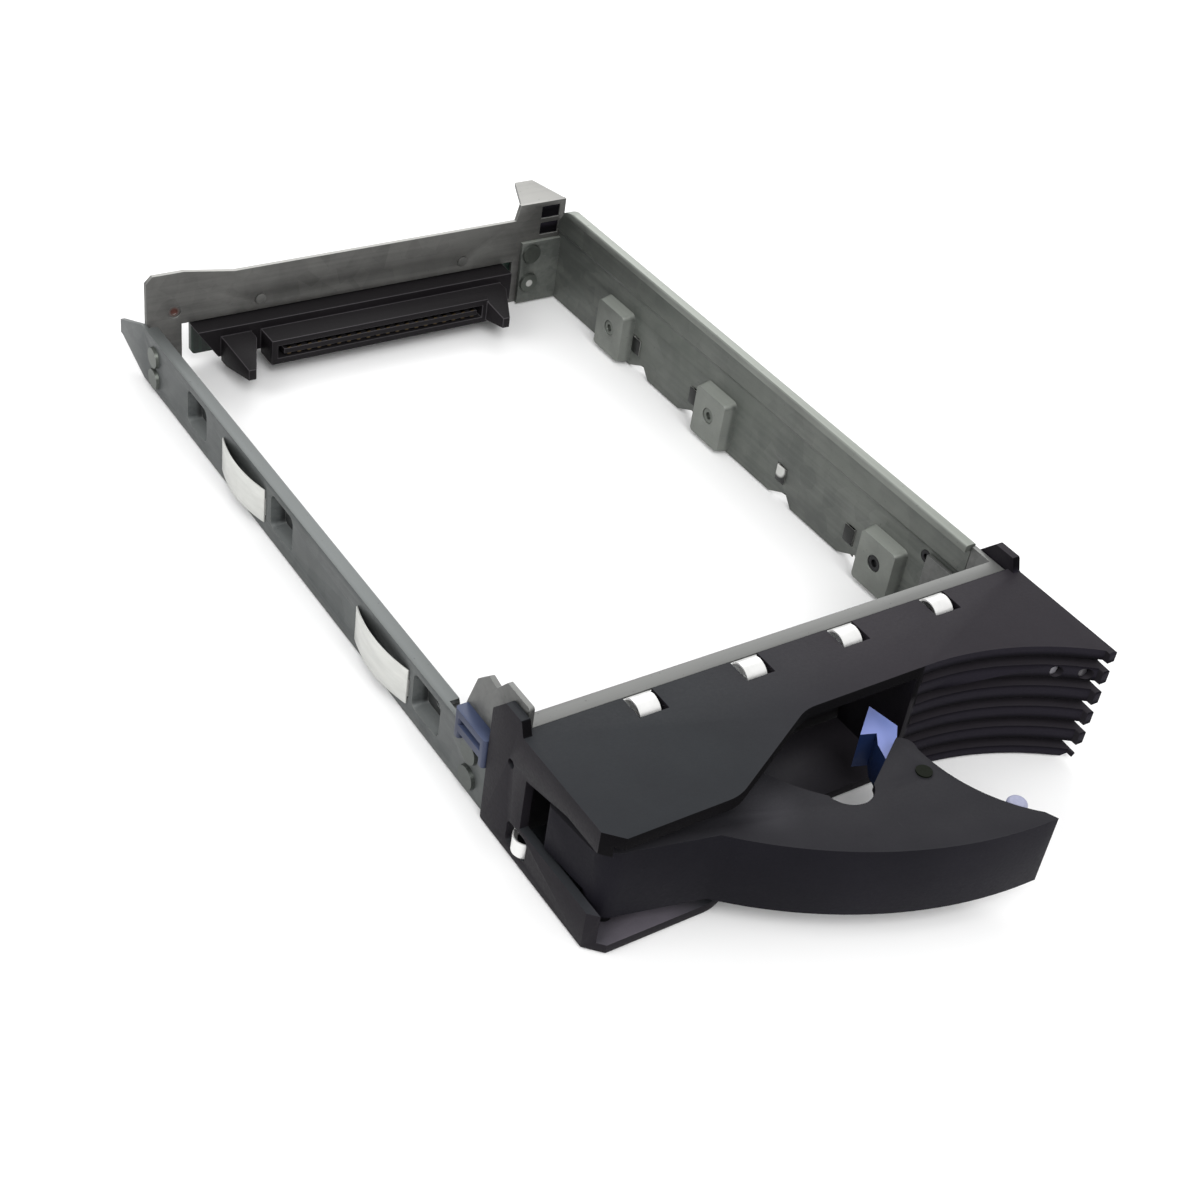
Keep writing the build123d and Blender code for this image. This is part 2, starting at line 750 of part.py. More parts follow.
# Bezel: plates, cheeks, louvred grille, notches and bores
with BuildPart() as bezel:
    with BuildSketch(plane_at_z(plate_underside)):
        bezel_plan()
    extrude(amount=bezel_top_wall)
    with BuildSketch(Plane.XY):
        bezel_plan()
    extrude(amount=bezel_bottom_wall)
    for cheek_left in (-bezel_half, cheek_inner):
        with BuildSketch(plane_at_x(cheek_left)):
            cheek_outline()
        extrude(amount=cheek_wall)
    with BuildSketch(Plane.XY):
        grille_band(0, grille_thickness, grille_start, bezel_half)
    extrude(amount=bezel_height)
    box_between(grille_start, grille_start + grille_end_wall, recess_depth, bezel_back, 0, bezel_height)
    for groove_z in groove_heights:
        with BuildSketch(plane_at_z(groove_z - groove_height / 2)):
            grille_band(-overrun, groove_depth, grille_start + grille_end_wall, bezel_half + overrun)
        extrude(amount=groove_height, mode=Mode.SUBTRACT)
        for i in range(vent_count):
            vent_left = vent_start + i * vent_pitch
            with BuildSketch(plane_at_z(groove_z - vent_height / 2)):
                grille_band(0, grille_thickness + overrun, vent_left, vent_left + vent_width)
            extrude(amount=vent_height, mode=Mode.SUBTRACT)
    with BuildSketch(plane_at_x(-bezel_half - overrun)):
        with BuildLine():
            Polyline((-overrun, cheek_window_low), (cheek_window_back, cheek_window_low),
                     (cheek_window_back, plate_underside - cheek_window_rise),
                     (cheek_window_back / 2, plate_underside - cheek_window_lip),
                     (-overrun, plate_underside - cheek_window_lip), close=True)
        make_face()
        with Locations((front_wall_y + sheet / 2, cheek_hole_height)):
            Circle(cheek_hole_radius)
        with Locations(((side_slot_front + side_slot_back) / 2, (side_slot_low + side_slot_high) / 2)):
            RectangleRounded(side_slot_back - side_slot_front, side_slot_high - side_slot_low, sheet)
    extrude(amount=2 * overrun, mode=Mode.SUBTRACT)
    with BuildSketch(plane_at_x(cheek_inner - overrun / 4)):
        with Locations(((side_slot_front + side_slot_back) / 2, (side_slot_low + side_slot_high) / 2)):
            RectangleRounded(side_slot_back - side_slot_front, side_slot_high - side_slot_low, sheet)
    extrude(amount=2 * overrun, mode=Mode.SUBTRACT)
    for place in finger_places:
        half_notch = finger_width / 2 + finger_notch_side
        box_between(place - half_notch, place + half_notch, finger_front - finger_notch_front,
                    bezel_back + overrun, plate_underside - overrun, bezel_height + overrun,
                    mode=Mode.SUBTRACT)
    with BuildSketch(plane_at_z(bezel_bottom_wall - pin_seat)):
        with Locations((pivot_x, pivot_y)):
            Circle(pin_radius + fit_gap)
    extrude(amount=plate_underside + 2 * pin_seat - bezel_bottom_wall, mode=Mode.SUBTRACT)
    with BuildSketch(plane_at_y(bezel_back)):
        with Locations((activity_lamp_x, lamp_z), (fault_lamp_x, lamp_z)):
            Circle(lamp_radius + fit_gap)
    extrude(amount=bezel_back + overrun, mode=Mode.SUBTRACT)
    with BuildSketch(plane_at_y(cheek_back + overrun)):
        with BuildLine():
            Polyline((bezel_half - corner_chamfer, 0), (bezel_half, corner_chamfer),
                     (bezel_half + overrun, 0), (bezel_half, -overrun), close=True)
        make_face()
    extrude(amount=cheek_back + 2 * overrun, mode=Mode.SUBTRACT)
save(bezel, "bezel")

# Light pipes behind the two lamp windows
for name, lamp_x in (("activity_light_pipe", activity_lamp_x), ("fault_light_pipe", fault_lamp_x)):
    with BuildPart() as light_pipe:
        pipe_front = arc_front(lamp_x) + sheet / 2
        with BuildSketch(plane_at_y(pipe_front + lamp_length)):
            with Locations((lamp_x, lamp_z)):
                Circle(lamp_radius)
        extrude(amount=lamp_length)
        fillet(light_pipe.edges().group_by(Axis.Y)[0], lamp_radius / 2)
    save(light_pipe, name)

# Grounding strip between the bezel and the front wall, with four fingers that arch into the notches
with BuildPart() as top_fingers:
    strip_front = bezel_back + fit_gap
    strip_back = strip_front + spring_sheet
    strip_top = front_wall_top - seat_gap
    crown = bezel_height + finger_rise
    finger_end = bezel_height - finger_dip
    box_between(finger_places[0] - finger_width, finger_places[-1] + finger_width, strip_front, strip_back,
                strip_top - strip_height, strip_top)
    for place in finger_places:
        with BuildSketch(plane_at_x(place - finger_width / 2)):
            with BuildLine():
                ThreePointArc((strip_back, strip_top), (finger_crown_y, crown), (finger_front, finger_end))
                Line((finger_front, finger_end), (finger_front, finger_end - spring_sheet))
                ThreePointArc((finger_front, finger_end - spring_sheet),
                              (finger_crown_y, crown - spring_sheet), (strip_front, strip_top - spring_sheet))
                Line((strip_front, strip_top - spring_sheet), (strip_back, strip_top))
            make_face()
        extrude(amount=finger_width)
save(top_fingers, "top_grounding_strip")

# Grounding finger in each cheek's slot, held between the cheek and the metal behind it
for name, side in (("left_grounding_finger", -1), ("right_grounding_finger", 1)):
    with BuildPart() as side_finger:
        base = web_inner + fit_gap / 2
        skin = seat_gap - fit_gap
        tail_front = side_slot_back - sheet
        nose = side_slot_front + sheet / 2
        crown = bezel_half + side_finger_bow - skin
        middle = (tail_front + nose) / 2
        box_between(side * base, side * (base + skin), tail_front, cheek_back, side_slot_low,
                    side_slot_low + side_finger_height)
        with BuildSketch(plane_at_z(side_slot_low)):
            with BuildLine():
                ThreePointArc((side * base, tail_front), (side * crown, middle), (side * base, nose))
                Line((side * base, nose), (side * (base + skin), nose))
                ThreePointArc((side * (base + skin), nose), (side * (crown + skin), middle),
                              (side * (base + skin), tail_front))
                Line((side * (base + skin), tail_front), (side * base, tail_front))
            make_face()
        extrude(amount=side_finger_height)
    save(side_finger, name)

# Leaf springs on the rails
save(side_spring(-1, left_rear_spring_y, left_spring_length), "left_rear_spring")
save(side_spring(-1, left_front_spring_y, left_spring_length), "left_front_spring")
save(side_spring(1, right_rear_spring_y, right_spring_length), "right_rear_spring")
save(side_spring(1, right_front_spring_y, right_spring_length), "right_front_spring")

# Clip on the left flange, with a foot over the rail's outer face
with BuildPart() as rail_clip:
    clip_outer = rail_half + clip_thickness
    box_between(-clip_outer, -web_inner, clip_front, clip_back, left_rail_height, clip_top)
    box_between(-clip_outer, -rail_half, clip_front, clip_front + clip_foot, clip_low, left_rail_height)
    box_between(-clip_outer, -rail_half, clip_back - clip_foot, clip_back, clip_low, left_rail_height)
    slot_middle = (left_rail_height + clip_top) / 2
    box_between(-clip_outer - overrun, -rail_half, clip_front + clip_foot, clip_back - clip_foot,
                slot_middle - clip_slot_width / 2, slot_middle + clip_slot_width / 2, mode=Mode.SUBTRACT)
    fillet(rail_clip.edges().filter_by(Axis.Z).group_by(Axis.X)[0], clip_round)
save(rail_clip, "rail_clip")


def handle_plan():
    """Outline of the handle's top web: hub, rim, pointed tip, lobe over the catch and finger notch."""
    with BuildLine() as outline:
        Line((pivot_x, pivot_y - hub_radius), (root_end_x, root_end_y))
        ThreePointArc((root_end_x, root_end_y), (rim_middle_x, rim_middle_y), (tip_x, tip_y))
        Line((tip_x, tip_y), (tip_x - tip_width / 2, tip_y + tip_width))
        ThreePointArc((tip_x - tip_width / 2, tip_y + tip_width), (inner_middle_x, inner_middle_y),
                      (lobe_x, lobe_y))
        ThreePointArc((lobe_x, lobe_y), (lobe_x - sheet / 4, lobe_top_y - sheet), (lobe_top_x, lobe_top_y))
        Line((lobe_top_x, lobe_top_y), (notch_x, notch_y))
        ThreePointArc((notch_x, notch_y), (notch_depth_x, notch_depth_y), (throat_x, throat_y))
        ThreePointArc((throat_x, throat_y), (throat_x - sheet, throat_y + sheet), (shoulder_x, shoulder_y))
        Line((shoulder_x, shoulder_y), (back_x, back_y))
        Line((back_x, back_y), (pivot_x, pivot_y + hub_radius))
        Line((pivot_x, pivot_y + hub_radius), (pivot_x, pivot_y - hub_radius))
    make_face(outline.edges())


def rim_wall_plan():
    """Outline of the handle's outer wall, along the root and the rim to the tip."""
    with BuildLine() as outline:
        Line((pivot_x, pivot_y - hub_radius), (root_end_x, root_end_y))
        ThreePointArc((root_end_x, root_end_y), (rim_middle_x, rim_middle_y), (tip_x, tip_y))
        Line((tip_x, tip_y), (tip_x - tip_width / 2, tip_y + handle_wall))
        ThreePointArc((tip_x - tip_width / 2, tip_y + handle_wall),
                      (rim_middle_x + handle_wall / 2, rim_middle_y + handle_wall),
                      (root_end_x + handle_wall / 2, root_end_y + handle_wall))
        Line((root_end_x + handle_wall / 2, root_end_y + handle_wall),
             (pivot_x, pivot_y - hub_radius + handle_wall))
        Line((pivot_x, pivot_y - hub_radius + handle_wall), (pivot_x, pivot_y - hub_radius))
    make_face(outline.edges())


# Handle: hub with its cam, top and bottom webs and the outer wall between them
cam_x = pivot_x + cam_reach * cos(radians(cam_angle))
cam_y = pivot_y + cam_reach * sin(radians(cam_angle))
with BuildPart() as handle:
    with BuildSketch(plane_at_z(handle_high - handle_web)):
        handle_plan()
    extrude(amount=handle_web)
    with BuildSketch(plane_at_z(handle_low)):
        handle_plan()
        with Locations((lobe_x, lobe_top_y)):
            Rectangle(2 * lobe_x, 2 * (lobe_top_y - notch_y) - sheet, mode=Mode.SUBTRACT)
    extrude(amount=handle_web)
    with BuildSketch(plane_at_z(handle_low)):
        rim_wall_plan()
    extrude(amount=handle_height)
    with BuildSketch(plane_at_z(handle_low)):
        with BuildLine():
            Polyline((pivot_x, pivot_y - hub_radius), (root_end_x, root_end_y),
                     (root_end_x, pivot_y + hub_radius / 2), (pivot_x, pivot_y + hub_radius), close=True)
        make_face()
        with Locations((pivot_x, pivot_y)):
            Circle(hub_radius)
    extrude(amount=handle_height)
    with BuildSketch(plane_at_z(cam_low)):
        with BuildLine():
            Polyline((pivot_x + hub_radius, pivot_y), (cam_x + cam_tip_radius, cam_y),
                     (cam_x - cam_tip_radius, cam_y), (pivot_x - hub_radius, pivot_y), close=True)
        make_face()
        with Locations((cam_x, cam_y)):
            Circle(cam_tip_radius)
    extrude(amount=cam_high - cam_low)
    with BuildSketch(plane_at_z(handle_low - overrun)):
        with Locations((pivot_x, pivot_y)):
            Circle(pin_radius + fit_gap)
        with Locations((catch_pin_x, catch_pin_y)):
            Circle(catch_pin_radius + fit_gap)
    extrude(amount=handle_height + 2 * overrun, mode=Mode.SUBTRACT)
save(handle, "handle")

# Steel pin that the handle turns on, seated in blind bores of the bezel's plates
with BuildPart() as handle_pin:
    with BuildSketch(plane_at_z(bezel_bottom_wall - pin_seat)):
        with Locations((pivot_x, pivot_y)):
            Circle(pin_radius)
    extrude(amount=plate_underside + 2 * pin_seat - bezel_bottom_wall)
save(handle_pin, "handle_pivot_pin")

# Catch lever: hub, arm with a barbed head, thumb arm and knob
with BuildPart() as latch_lever:
    arm_start_y = catch_pin_y - thumb_shift
    arm_angle = degrees(atan2(knob_y - arm_start_y, knob_x - catch_pin_x))
    arm_length = sqrt((knob_y - arm_start_y)**2 + (knob_x - catch_pin_x)**2)
    with BuildSketch(plane_at_z(lever_low)):
        with Locations((catch_pin_x, catch_pin_y)):
            Circle(lever_hub_radius)
        with BuildLine():
            Polyline((catch_pin_x - lever_hub_radius, catch_pin_y), (catch_root_x, catch_root_y),
                     (catch_arm_x, catch_arm_y), (undercut_x, undercut_y), (barb_x, barb_y),
                     (catch_tip_x, catch_tip_y), (catch_heel_x, catch_heel_y), (catch_neck_x, catch_neck_y),
                     (catch_pin_x + lever_hub_radius, catch_pin_y), close=True)
        make_face()
    extrude(amount=lever_high - lever_low)
    with BuildSketch(plane_at_z(knob_low)):
        with Locations(((catch_pin_x + knob_x) / 2, (arm_start_y + knob_y) / 2)):
            Rectangle(arm_length, thumb_width, rotation=arm_angle)
    extrude(amount=lever_high - knob_low)
    with BuildSketch(plane_at_z(knob_low)):
        with Locations((knob_x, knob_y)):
            Circle(knob_radius)
    extrude(amount=knob_high - knob_low)
    fillet(latch_lever.edges().filter_by(GeomType.CIRCLE).group_by(Axis.Z)[-1], knob_round)
    with BuildSketch(plane_at_z(lever_low - overrun)):
        with Locations((catch_pin_x, catch_pin_y)):
            Circle(catch_pin_radius + fit_gap)
    extrude(amount=lever_high - lever_low + 2 * overrun, mode=Mode.SUBTRACT)
save(latch_lever, "latch_lever")

# Pin that the catch lever turns on, headed over at the top web
with BuildPart() as latch_pin:
    with BuildSketch(plane_at_z(handle_low)):
        with Locations((catch_pin_x, catch_pin_y)):
            Circle(catch_pin_radius)
    extrude(amount=handle_height)
    with BuildSketch(plane_at_z(handle_high)):
        with Locations((catch_pin_x, catch_pin_y)):
            Circle(catch_pin_radius + catch_pin_head)
    extrude(amount=catch_pin_head)
save(latch_pin, "latch_pin")

# Coil spring under the lever, with one leg against the handle's wall side
with BuildPart() as latch_spring:
    coil_low = lever_low - coil_turns * coil_wire - fit_gap
    coil_inner = catch_pin_radius + fit_gap
    for turn in range(coil_turns):
        with BuildSketch(Plane(origin=(catch_pin_x, catch_pin_y, 0), x_dir=(1, 0, 0), z_dir=(0, -1, 0))):
            with Locations((coil_inner + coil_wire / 2, coil_low + (turn + 1 / 2) * coil_wire)):
                Circle(coil_wire / 2 + fit_gap / 2)
        revolve(axis=Axis((catch_pin_x, catch_pin_y, 0), (0, 0, 1)))
    box_between(catch_pin_x, catch_pin_x + lever_hub_radius * 2, catch_pin_y - coil_inner - coil_wire,
                catch_pin_y - coil_inner, coil_low, coil_low + coil_wire)
save(latch_spring, "latch_spring")

# Circuit board on the panel's outer face
with BuildPart() as board:
    with BuildSketch(plane_at_y(board_back)):
        with Locations((0, (board_low + board_high) / 2)):
            RectangleRounded(2 * board_half, board_high - board_low, sheet)
        with Locations((-board_screw_x, board_screw_z), (board_screw_x, board_screw_z)):
            Circle(board_screw_radius + fit_gap, mode=Mode.SUBTRACT)
    extrude(amount=board_thickness)
save(board, "interposer_board")

# Connector for the drive: flange with a sloped end, mating block with a slot and tongue, guide posts
with BuildPart() as drive_connector:
    with BuildSketch(plane_at_y(panel_outer)):
        with BuildLine():
            Polyline((-connector_left, connector_top), (connector_slope - connector_left, connector_low),
                     (connector_right, connector_low), (connector_right, connector_top), close=True)
        make_face()
    extrude(amount=panel_outer - connector_flange_front)
    box_between(-mating_half, mating_half, mating_front, connector_flange_front, mating_low, mating_top)
    box_between(mating_slot_inset - mating_half, mating_half - mating_slot_inset, mating_front - overrun,
                mating_front + mating_slot_depth, mating_low + mating_slot_inset,
                mating_top - mating_slot_inset, mode=Mode.SUBTRACT)
    box_between(2 * mating_slot_inset - mating_half, mating_half - 2 * mating_slot_inset, mating_front,
                mating_front + mating_slot_depth, connector_middle - tongue_thickness / 2,
                connector_middle + tongue_thickness / 2)
    for horn_share in (horn_left_share, horn_right_share):
        horn_x = horn_share * bezel_half
        horn_step = connector_flange_front - horn_body
        with BuildSketch(plane_at_y(connector_flange_front)):
            with Locations((horn_x, connector_middle)):
                Rectangle(horn_width, horn_height)
        extrude(amount=horn_body)
        with BuildSketch(plane_at_y(horn_step)):
            with Locations((horn_x, connector_middle)):
                Rectangle(horn_width, horn_height)
        with BuildSketch(plane_at_y(horn_front)):
            with Locations((horn_x - horn_tip_width, connector_middle)):
                Rectangle(horn_tip_width, horn_tip_height)
        loft()
save(drive_connector, "drive_connector")

# Contacts on the tongue's two faces
with BuildPart() as drive_contacts:
    contact_run = 2 * (mating_half - 2 * mating_slot_inset)
    contact_pitch = contact_run / contact_count
    for row in (-1, 1):
        face_z = connector_middle + row * tongue_thickness / 2
        for i in range(contact_count):
            contact_x = (i + 1 / 2) * contact_pitch - contact_run / 2
            box_between(contact_x - contact_width / 2, contact_x + contact_width / 2, mating_front + fit_gap,
                        mating_front + contact_length, face_z, face_z + row * contact_thickness)
save(drive_contacts, "drive_contacts")

# Plug for the backplane on the board's outer face, with its contacts
with BuildPart() as backplane_plug:
    box_between(-plug_half, plug_half, board_back, plug_back, plug_low, plug_top)
    fillet(backplane_plug.edges().filter_by(Axis.Y), sheet)
    box_between(mating_slot_inset - plug_half, plug_half - mating_slot_inset, plug_back - mating_slot_depth,
                plug_back + overrun, plug_low + mating_slot_inset, plug_top - mating_slot_inset,
                mode=Mode.SUBTRACT)
    box_between(2 * mating_slot_inset - plug_half, plug_half - 2 * mating_slot_inset,
                plug_back - mating_slot_depth, plug_back, plug_middle - tongue_thickness / 2,
                plug_middle + tongue_thickness / 2)
save(backplane_plug, "backplane_connector")

with BuildPart() as plug_contacts:
    plug_run = 2 * (plug_half - 2 * mating_slot_inset)
    plug_pitch = plug_run / contact_count
    for row in (-1, 1):
        face_z = plug_middle + row * tongue_thickness / 2
        for i in range(contact_count):
            contact_x = (i + 1 / 2) * plug_pitch - plug_run / 2
            box_between(contact_x - contact_width / 2, contact_x + contact_width / 2,
                        plug_back - contact_length, plug_back - fit_gap, face_z,
                        face_z + row * contact_thickness)
save(plug_contacts, "backplane_contacts")

# Screws that hold the board to the panel
with BuildPart() as board_screws:
    for side in (-1, 1):
        with BuildSketch(plane_at_y(board_back)):
            with Locations((side * board_screw_x, board_screw_z)):
                Circle(board_screw_radius)
        extrude(amount=board_thickness + sheet + seat_gap)
        with BuildSketch(plane_at_y(board_back + board_screw_head_height)):
            with Locations((side * board_screw_x, board_screw_z)):
                Circle(board_screw_head_radius)
        extrude(amount=board_screw_head_height)
        for turn in (0, 90):
            with BuildSketch(plane_at_y(board_back + board_screw_head_height)):
                with Locations((side * board_screw_x, board_screw_z)):
                    Rectangle(2 * board_screw_radius, board_screw_slot, rotation=turn)
            extrude(amount=board_screw_head_height / 2, mode=Mode.SUBTRACT)
save(board_screws, "board_screws")
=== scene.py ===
"""Looks of the hot swap drive caddy: finishes, softened edges, small parts, studio and camera."""
import json
import math

import bmesh
import bpy
from mathutils import Matrix, Vector


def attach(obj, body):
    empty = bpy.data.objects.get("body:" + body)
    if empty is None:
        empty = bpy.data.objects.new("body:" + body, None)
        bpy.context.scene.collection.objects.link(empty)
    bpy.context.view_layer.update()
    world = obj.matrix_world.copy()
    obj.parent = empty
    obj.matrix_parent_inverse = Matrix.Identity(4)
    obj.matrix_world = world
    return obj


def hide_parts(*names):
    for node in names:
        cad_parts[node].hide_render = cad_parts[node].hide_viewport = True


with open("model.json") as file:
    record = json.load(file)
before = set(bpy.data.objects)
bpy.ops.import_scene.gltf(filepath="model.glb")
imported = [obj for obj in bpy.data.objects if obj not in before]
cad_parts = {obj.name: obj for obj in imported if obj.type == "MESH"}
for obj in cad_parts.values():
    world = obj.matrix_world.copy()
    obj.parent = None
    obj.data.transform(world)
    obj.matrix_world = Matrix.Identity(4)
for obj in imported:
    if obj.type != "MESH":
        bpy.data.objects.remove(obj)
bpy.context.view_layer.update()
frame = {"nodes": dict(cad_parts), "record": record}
nodes = frame["nodes"]
slot_of = {row["node"]: row["material_slot"] for row in frame["record"]["subparts"]}
body_of = {node: body for body, names in frame["record"]["behaviour"]["bodies"].items() for node in names}

MM = 0.001

# Camera, solved from the photograph's rail and bezel lines
EYE_MM = (-189.2, -153.7, 230.7)
CAMERA_TURN_DEG = (51.87, -7.38, -32.93)
CAMERA_LENS_MM = 55.7
SENSOR_MM = 36.0
CLIP_START = 0.01

# Studio, in metres and watts
FLOOR_SIZE = 6.0
FLOOR_DROP = 0.0005
FLOOR_COLOUR = (0.93, 0.93, 0.93)
FLOOR_ROUGHNESS = 0.9
AIR_COLOUR = (1.0, 1.0, 1.0)
AIR_STRENGTH = 0.75
LIGHT_AIM = (0.0, 0.08, 0.0)
LIGHTS = {
    "key_light": {"place": (-0.25, -0.75, 0.95), "size": 0.7, "power": 9.0},
    "fill_light": {"place": (-0.9, 0.1, 0.6), "size": 0.8, "power": 4.0},
    "back_light": {"place": (0.5, 0.9, 0.8), "size": 0.8, "power": 6.0},
}


class Socket:
    """A shader socket that adds Math nodes when it is used in an expression."""

    def __init__(self, tree, link):
        self.tree = tree
        self.link = link

    def math(self, operation, other, clamp=False):
        node = self.tree.nodes.new("ShaderNodeMath")
        node.operation = operation
        node.use_clamp = clamp
        self.tree.links.new(self.link, node.inputs[0])
        if isinstance(other, Socket):
            self.tree.links.new(other.link, node.inputs[1])
        else:
            node.inputs[1].default_value = other
        return Socket(self.tree, node.outputs[0])

    def __add__(self, other):
        return self.math("ADD", other)

    __radd__ = __add__

    def __mul__(self, other):
        return self.math("MULTIPLY", other)

    __rmul__ = __mul__

    def __rsub__(self, other):
        return self.math("MULTIPLY", -1.0) + other

    def size(self):
        return self.math("ABSOLUTE", 0.0)

    def clamped(self):
        return self.math("ADD", 0.0, clamp=True)


class Finish:
    """One material under construction: its node tree, its shader and the object's own coordinates."""

    def __init__(self, name):
        self.material = bpy.data.materials.new(name)
        self.material.use_nodes = True
        self.tree = self.material.node_tree
        self.shader = next(n for n in self.tree.nodes if n.type == "BSDF_PRINCIPLED")
        self.place = self.node("ShaderNodeTexCoord")["Object"]

    def fill(self, socket, value):
        """Links a socket to another one, or gives it a constant."""
        if isinstance(value, Socket):
            self.tree.links.new(value.link, socket)
        elif socket.type == "RGBA":
            socket.default_value = (*value, 1.0)
        else:
            socket.default_value = value

    def node(self, kind, settings=None, **sockets):
        """Adds a node, sets its settings, then its sockets, and returns its outputs by name.

        A second socket of the same name is written with __1 at its end.
        """
        node = self.tree.nodes.new(kind)
        for key, value in (settings or {}).items():
            setattr(node, key, value)
        for key, value in sockets.items():
            name, _, turn = key.partition("__")
            found = [s for s in node.inputs if s.name == name.replace("_", " ") and s.enabled]
            self.fill(found[int(turn or 0)], value)
        return {s.name: Socket(self.tree, s) for s in node.outputs if s.enabled}

    def stretched(self, scale):
        """Object coordinates scaled per axis, for brushed or drawn patterns."""
        return self.node("ShaderNodeMapping", {"vector_type": "POINT"}, Vector=self.place, Scale=scale)["Vector"]

    def noise(self, scale, detail, roughness, vector=None):
        """Noise from 0 to 1."""
        return self.node("ShaderNodeTexNoise", Vector=vector or self.place, Scale=scale, Detail=detail,
                         Roughness=roughness)["Fac"]

    def lines(self, stretch, detail, roughness):
        """Noise drawn out along the piece by a scale per axis."""
        return self.noise(1.0, detail, roughness, self.stretched(stretch))

    def bands(self, direction, scale):
        """Even bands across one axis."""
        return self.node("ShaderNodeTexWave", {"wave_type": "BANDS", "bands_direction": direction},
                         Vector=self.place, Scale=scale, Distortion=0.0)["Fac"]

    def ramp(self, value, low, high):
        """Value cut so that low gives 0 and high gives 1."""
        return self.node("ShaderNodeMapRange", {"interpolation_type": "SMOOTHSTEP"}, Value=value, From_Min=low,
                         From_Max=high)["Result"]

    def along(self, axis):
        """One of the object coordinates, in metres."""
        return self.node("ShaderNodeSeparateXYZ", Vector=self.place)[axis]

    def past(self, axis, from_mm, to_mm):
        """0 at the first place along an axis and 1 at the second."""
        return self.ramp(self.along(axis), from_mm * MM, to_mm * MM)

    def near(self, place_mm, inner_mm, outer_mm):
        """1 within the inner distance of a place and 0 beyond the outer one."""
        away = self.node("ShaderNodeVectorMath", {"operation": "DISTANCE"}, Vector=self.place,
                         Vector__1=tuple(c * MM for c in place_mm))["Value"]
        return self.ramp(away, outer_mm * MM, inner_mm * MM)

    def facing(self, axis, low, high):
        """1 on faces whose own normal reaches the high value along an axis, and 0 below the low one."""
        normal = self.node("ShaderNodeTexCoord")["Normal"]
        return self.ramp(self.node("ShaderNodeSeparateXYZ", Vector=normal)[axis], low, high)

    def blend(self, factor, first, second):
        """Colour mix by a factor."""
        return self.node("ShaderNodeMix", {"data_type": "RGBA"}, Factor=factor, A=first, B=second)["Result"]

    def bump(self, height, strength, depth_mm):
        """Normal bent by a height."""
        return self.node("ShaderNodeBump", Height=height, Strength=strength, Distance=depth_mm * MM)["Normal"]

    def finished(self, **values):
        """Sets or links the shader's sockets and returns the material."""
        for key, value in values.items():
            self.fill(self.shader.inputs[key.replace("_", " ")], value)
        return self.material


def scaled(colour, factor):
    return tuple(min(1.0, c * factor) for c in colour)


# The pads' faces on the rails, and how far back the pads reach
PAD_FACE_MM = 52.4
PAD_FACE_BLEND_MM = 1.0
PADS_END_MM = 172.0
PADS_END_BLEND_MM = 4.0
RUST = (0.085, 0.018, 0.010)
RUST_INNER_MM = 0.5
RUST_OUTER_MM = 1.5
# Painted shade on the front wall: near-black faces before and below two limits
WALL_SHADE_DARK = (0.006, 0.0055, 0.007)
WALL_SHADE_LIGHT = (0.014, 0.013, 0.015)
SHADE_FRONT_BLEND_MM = 0.3
SHADE_TOP_BLEND_MM = 0.6


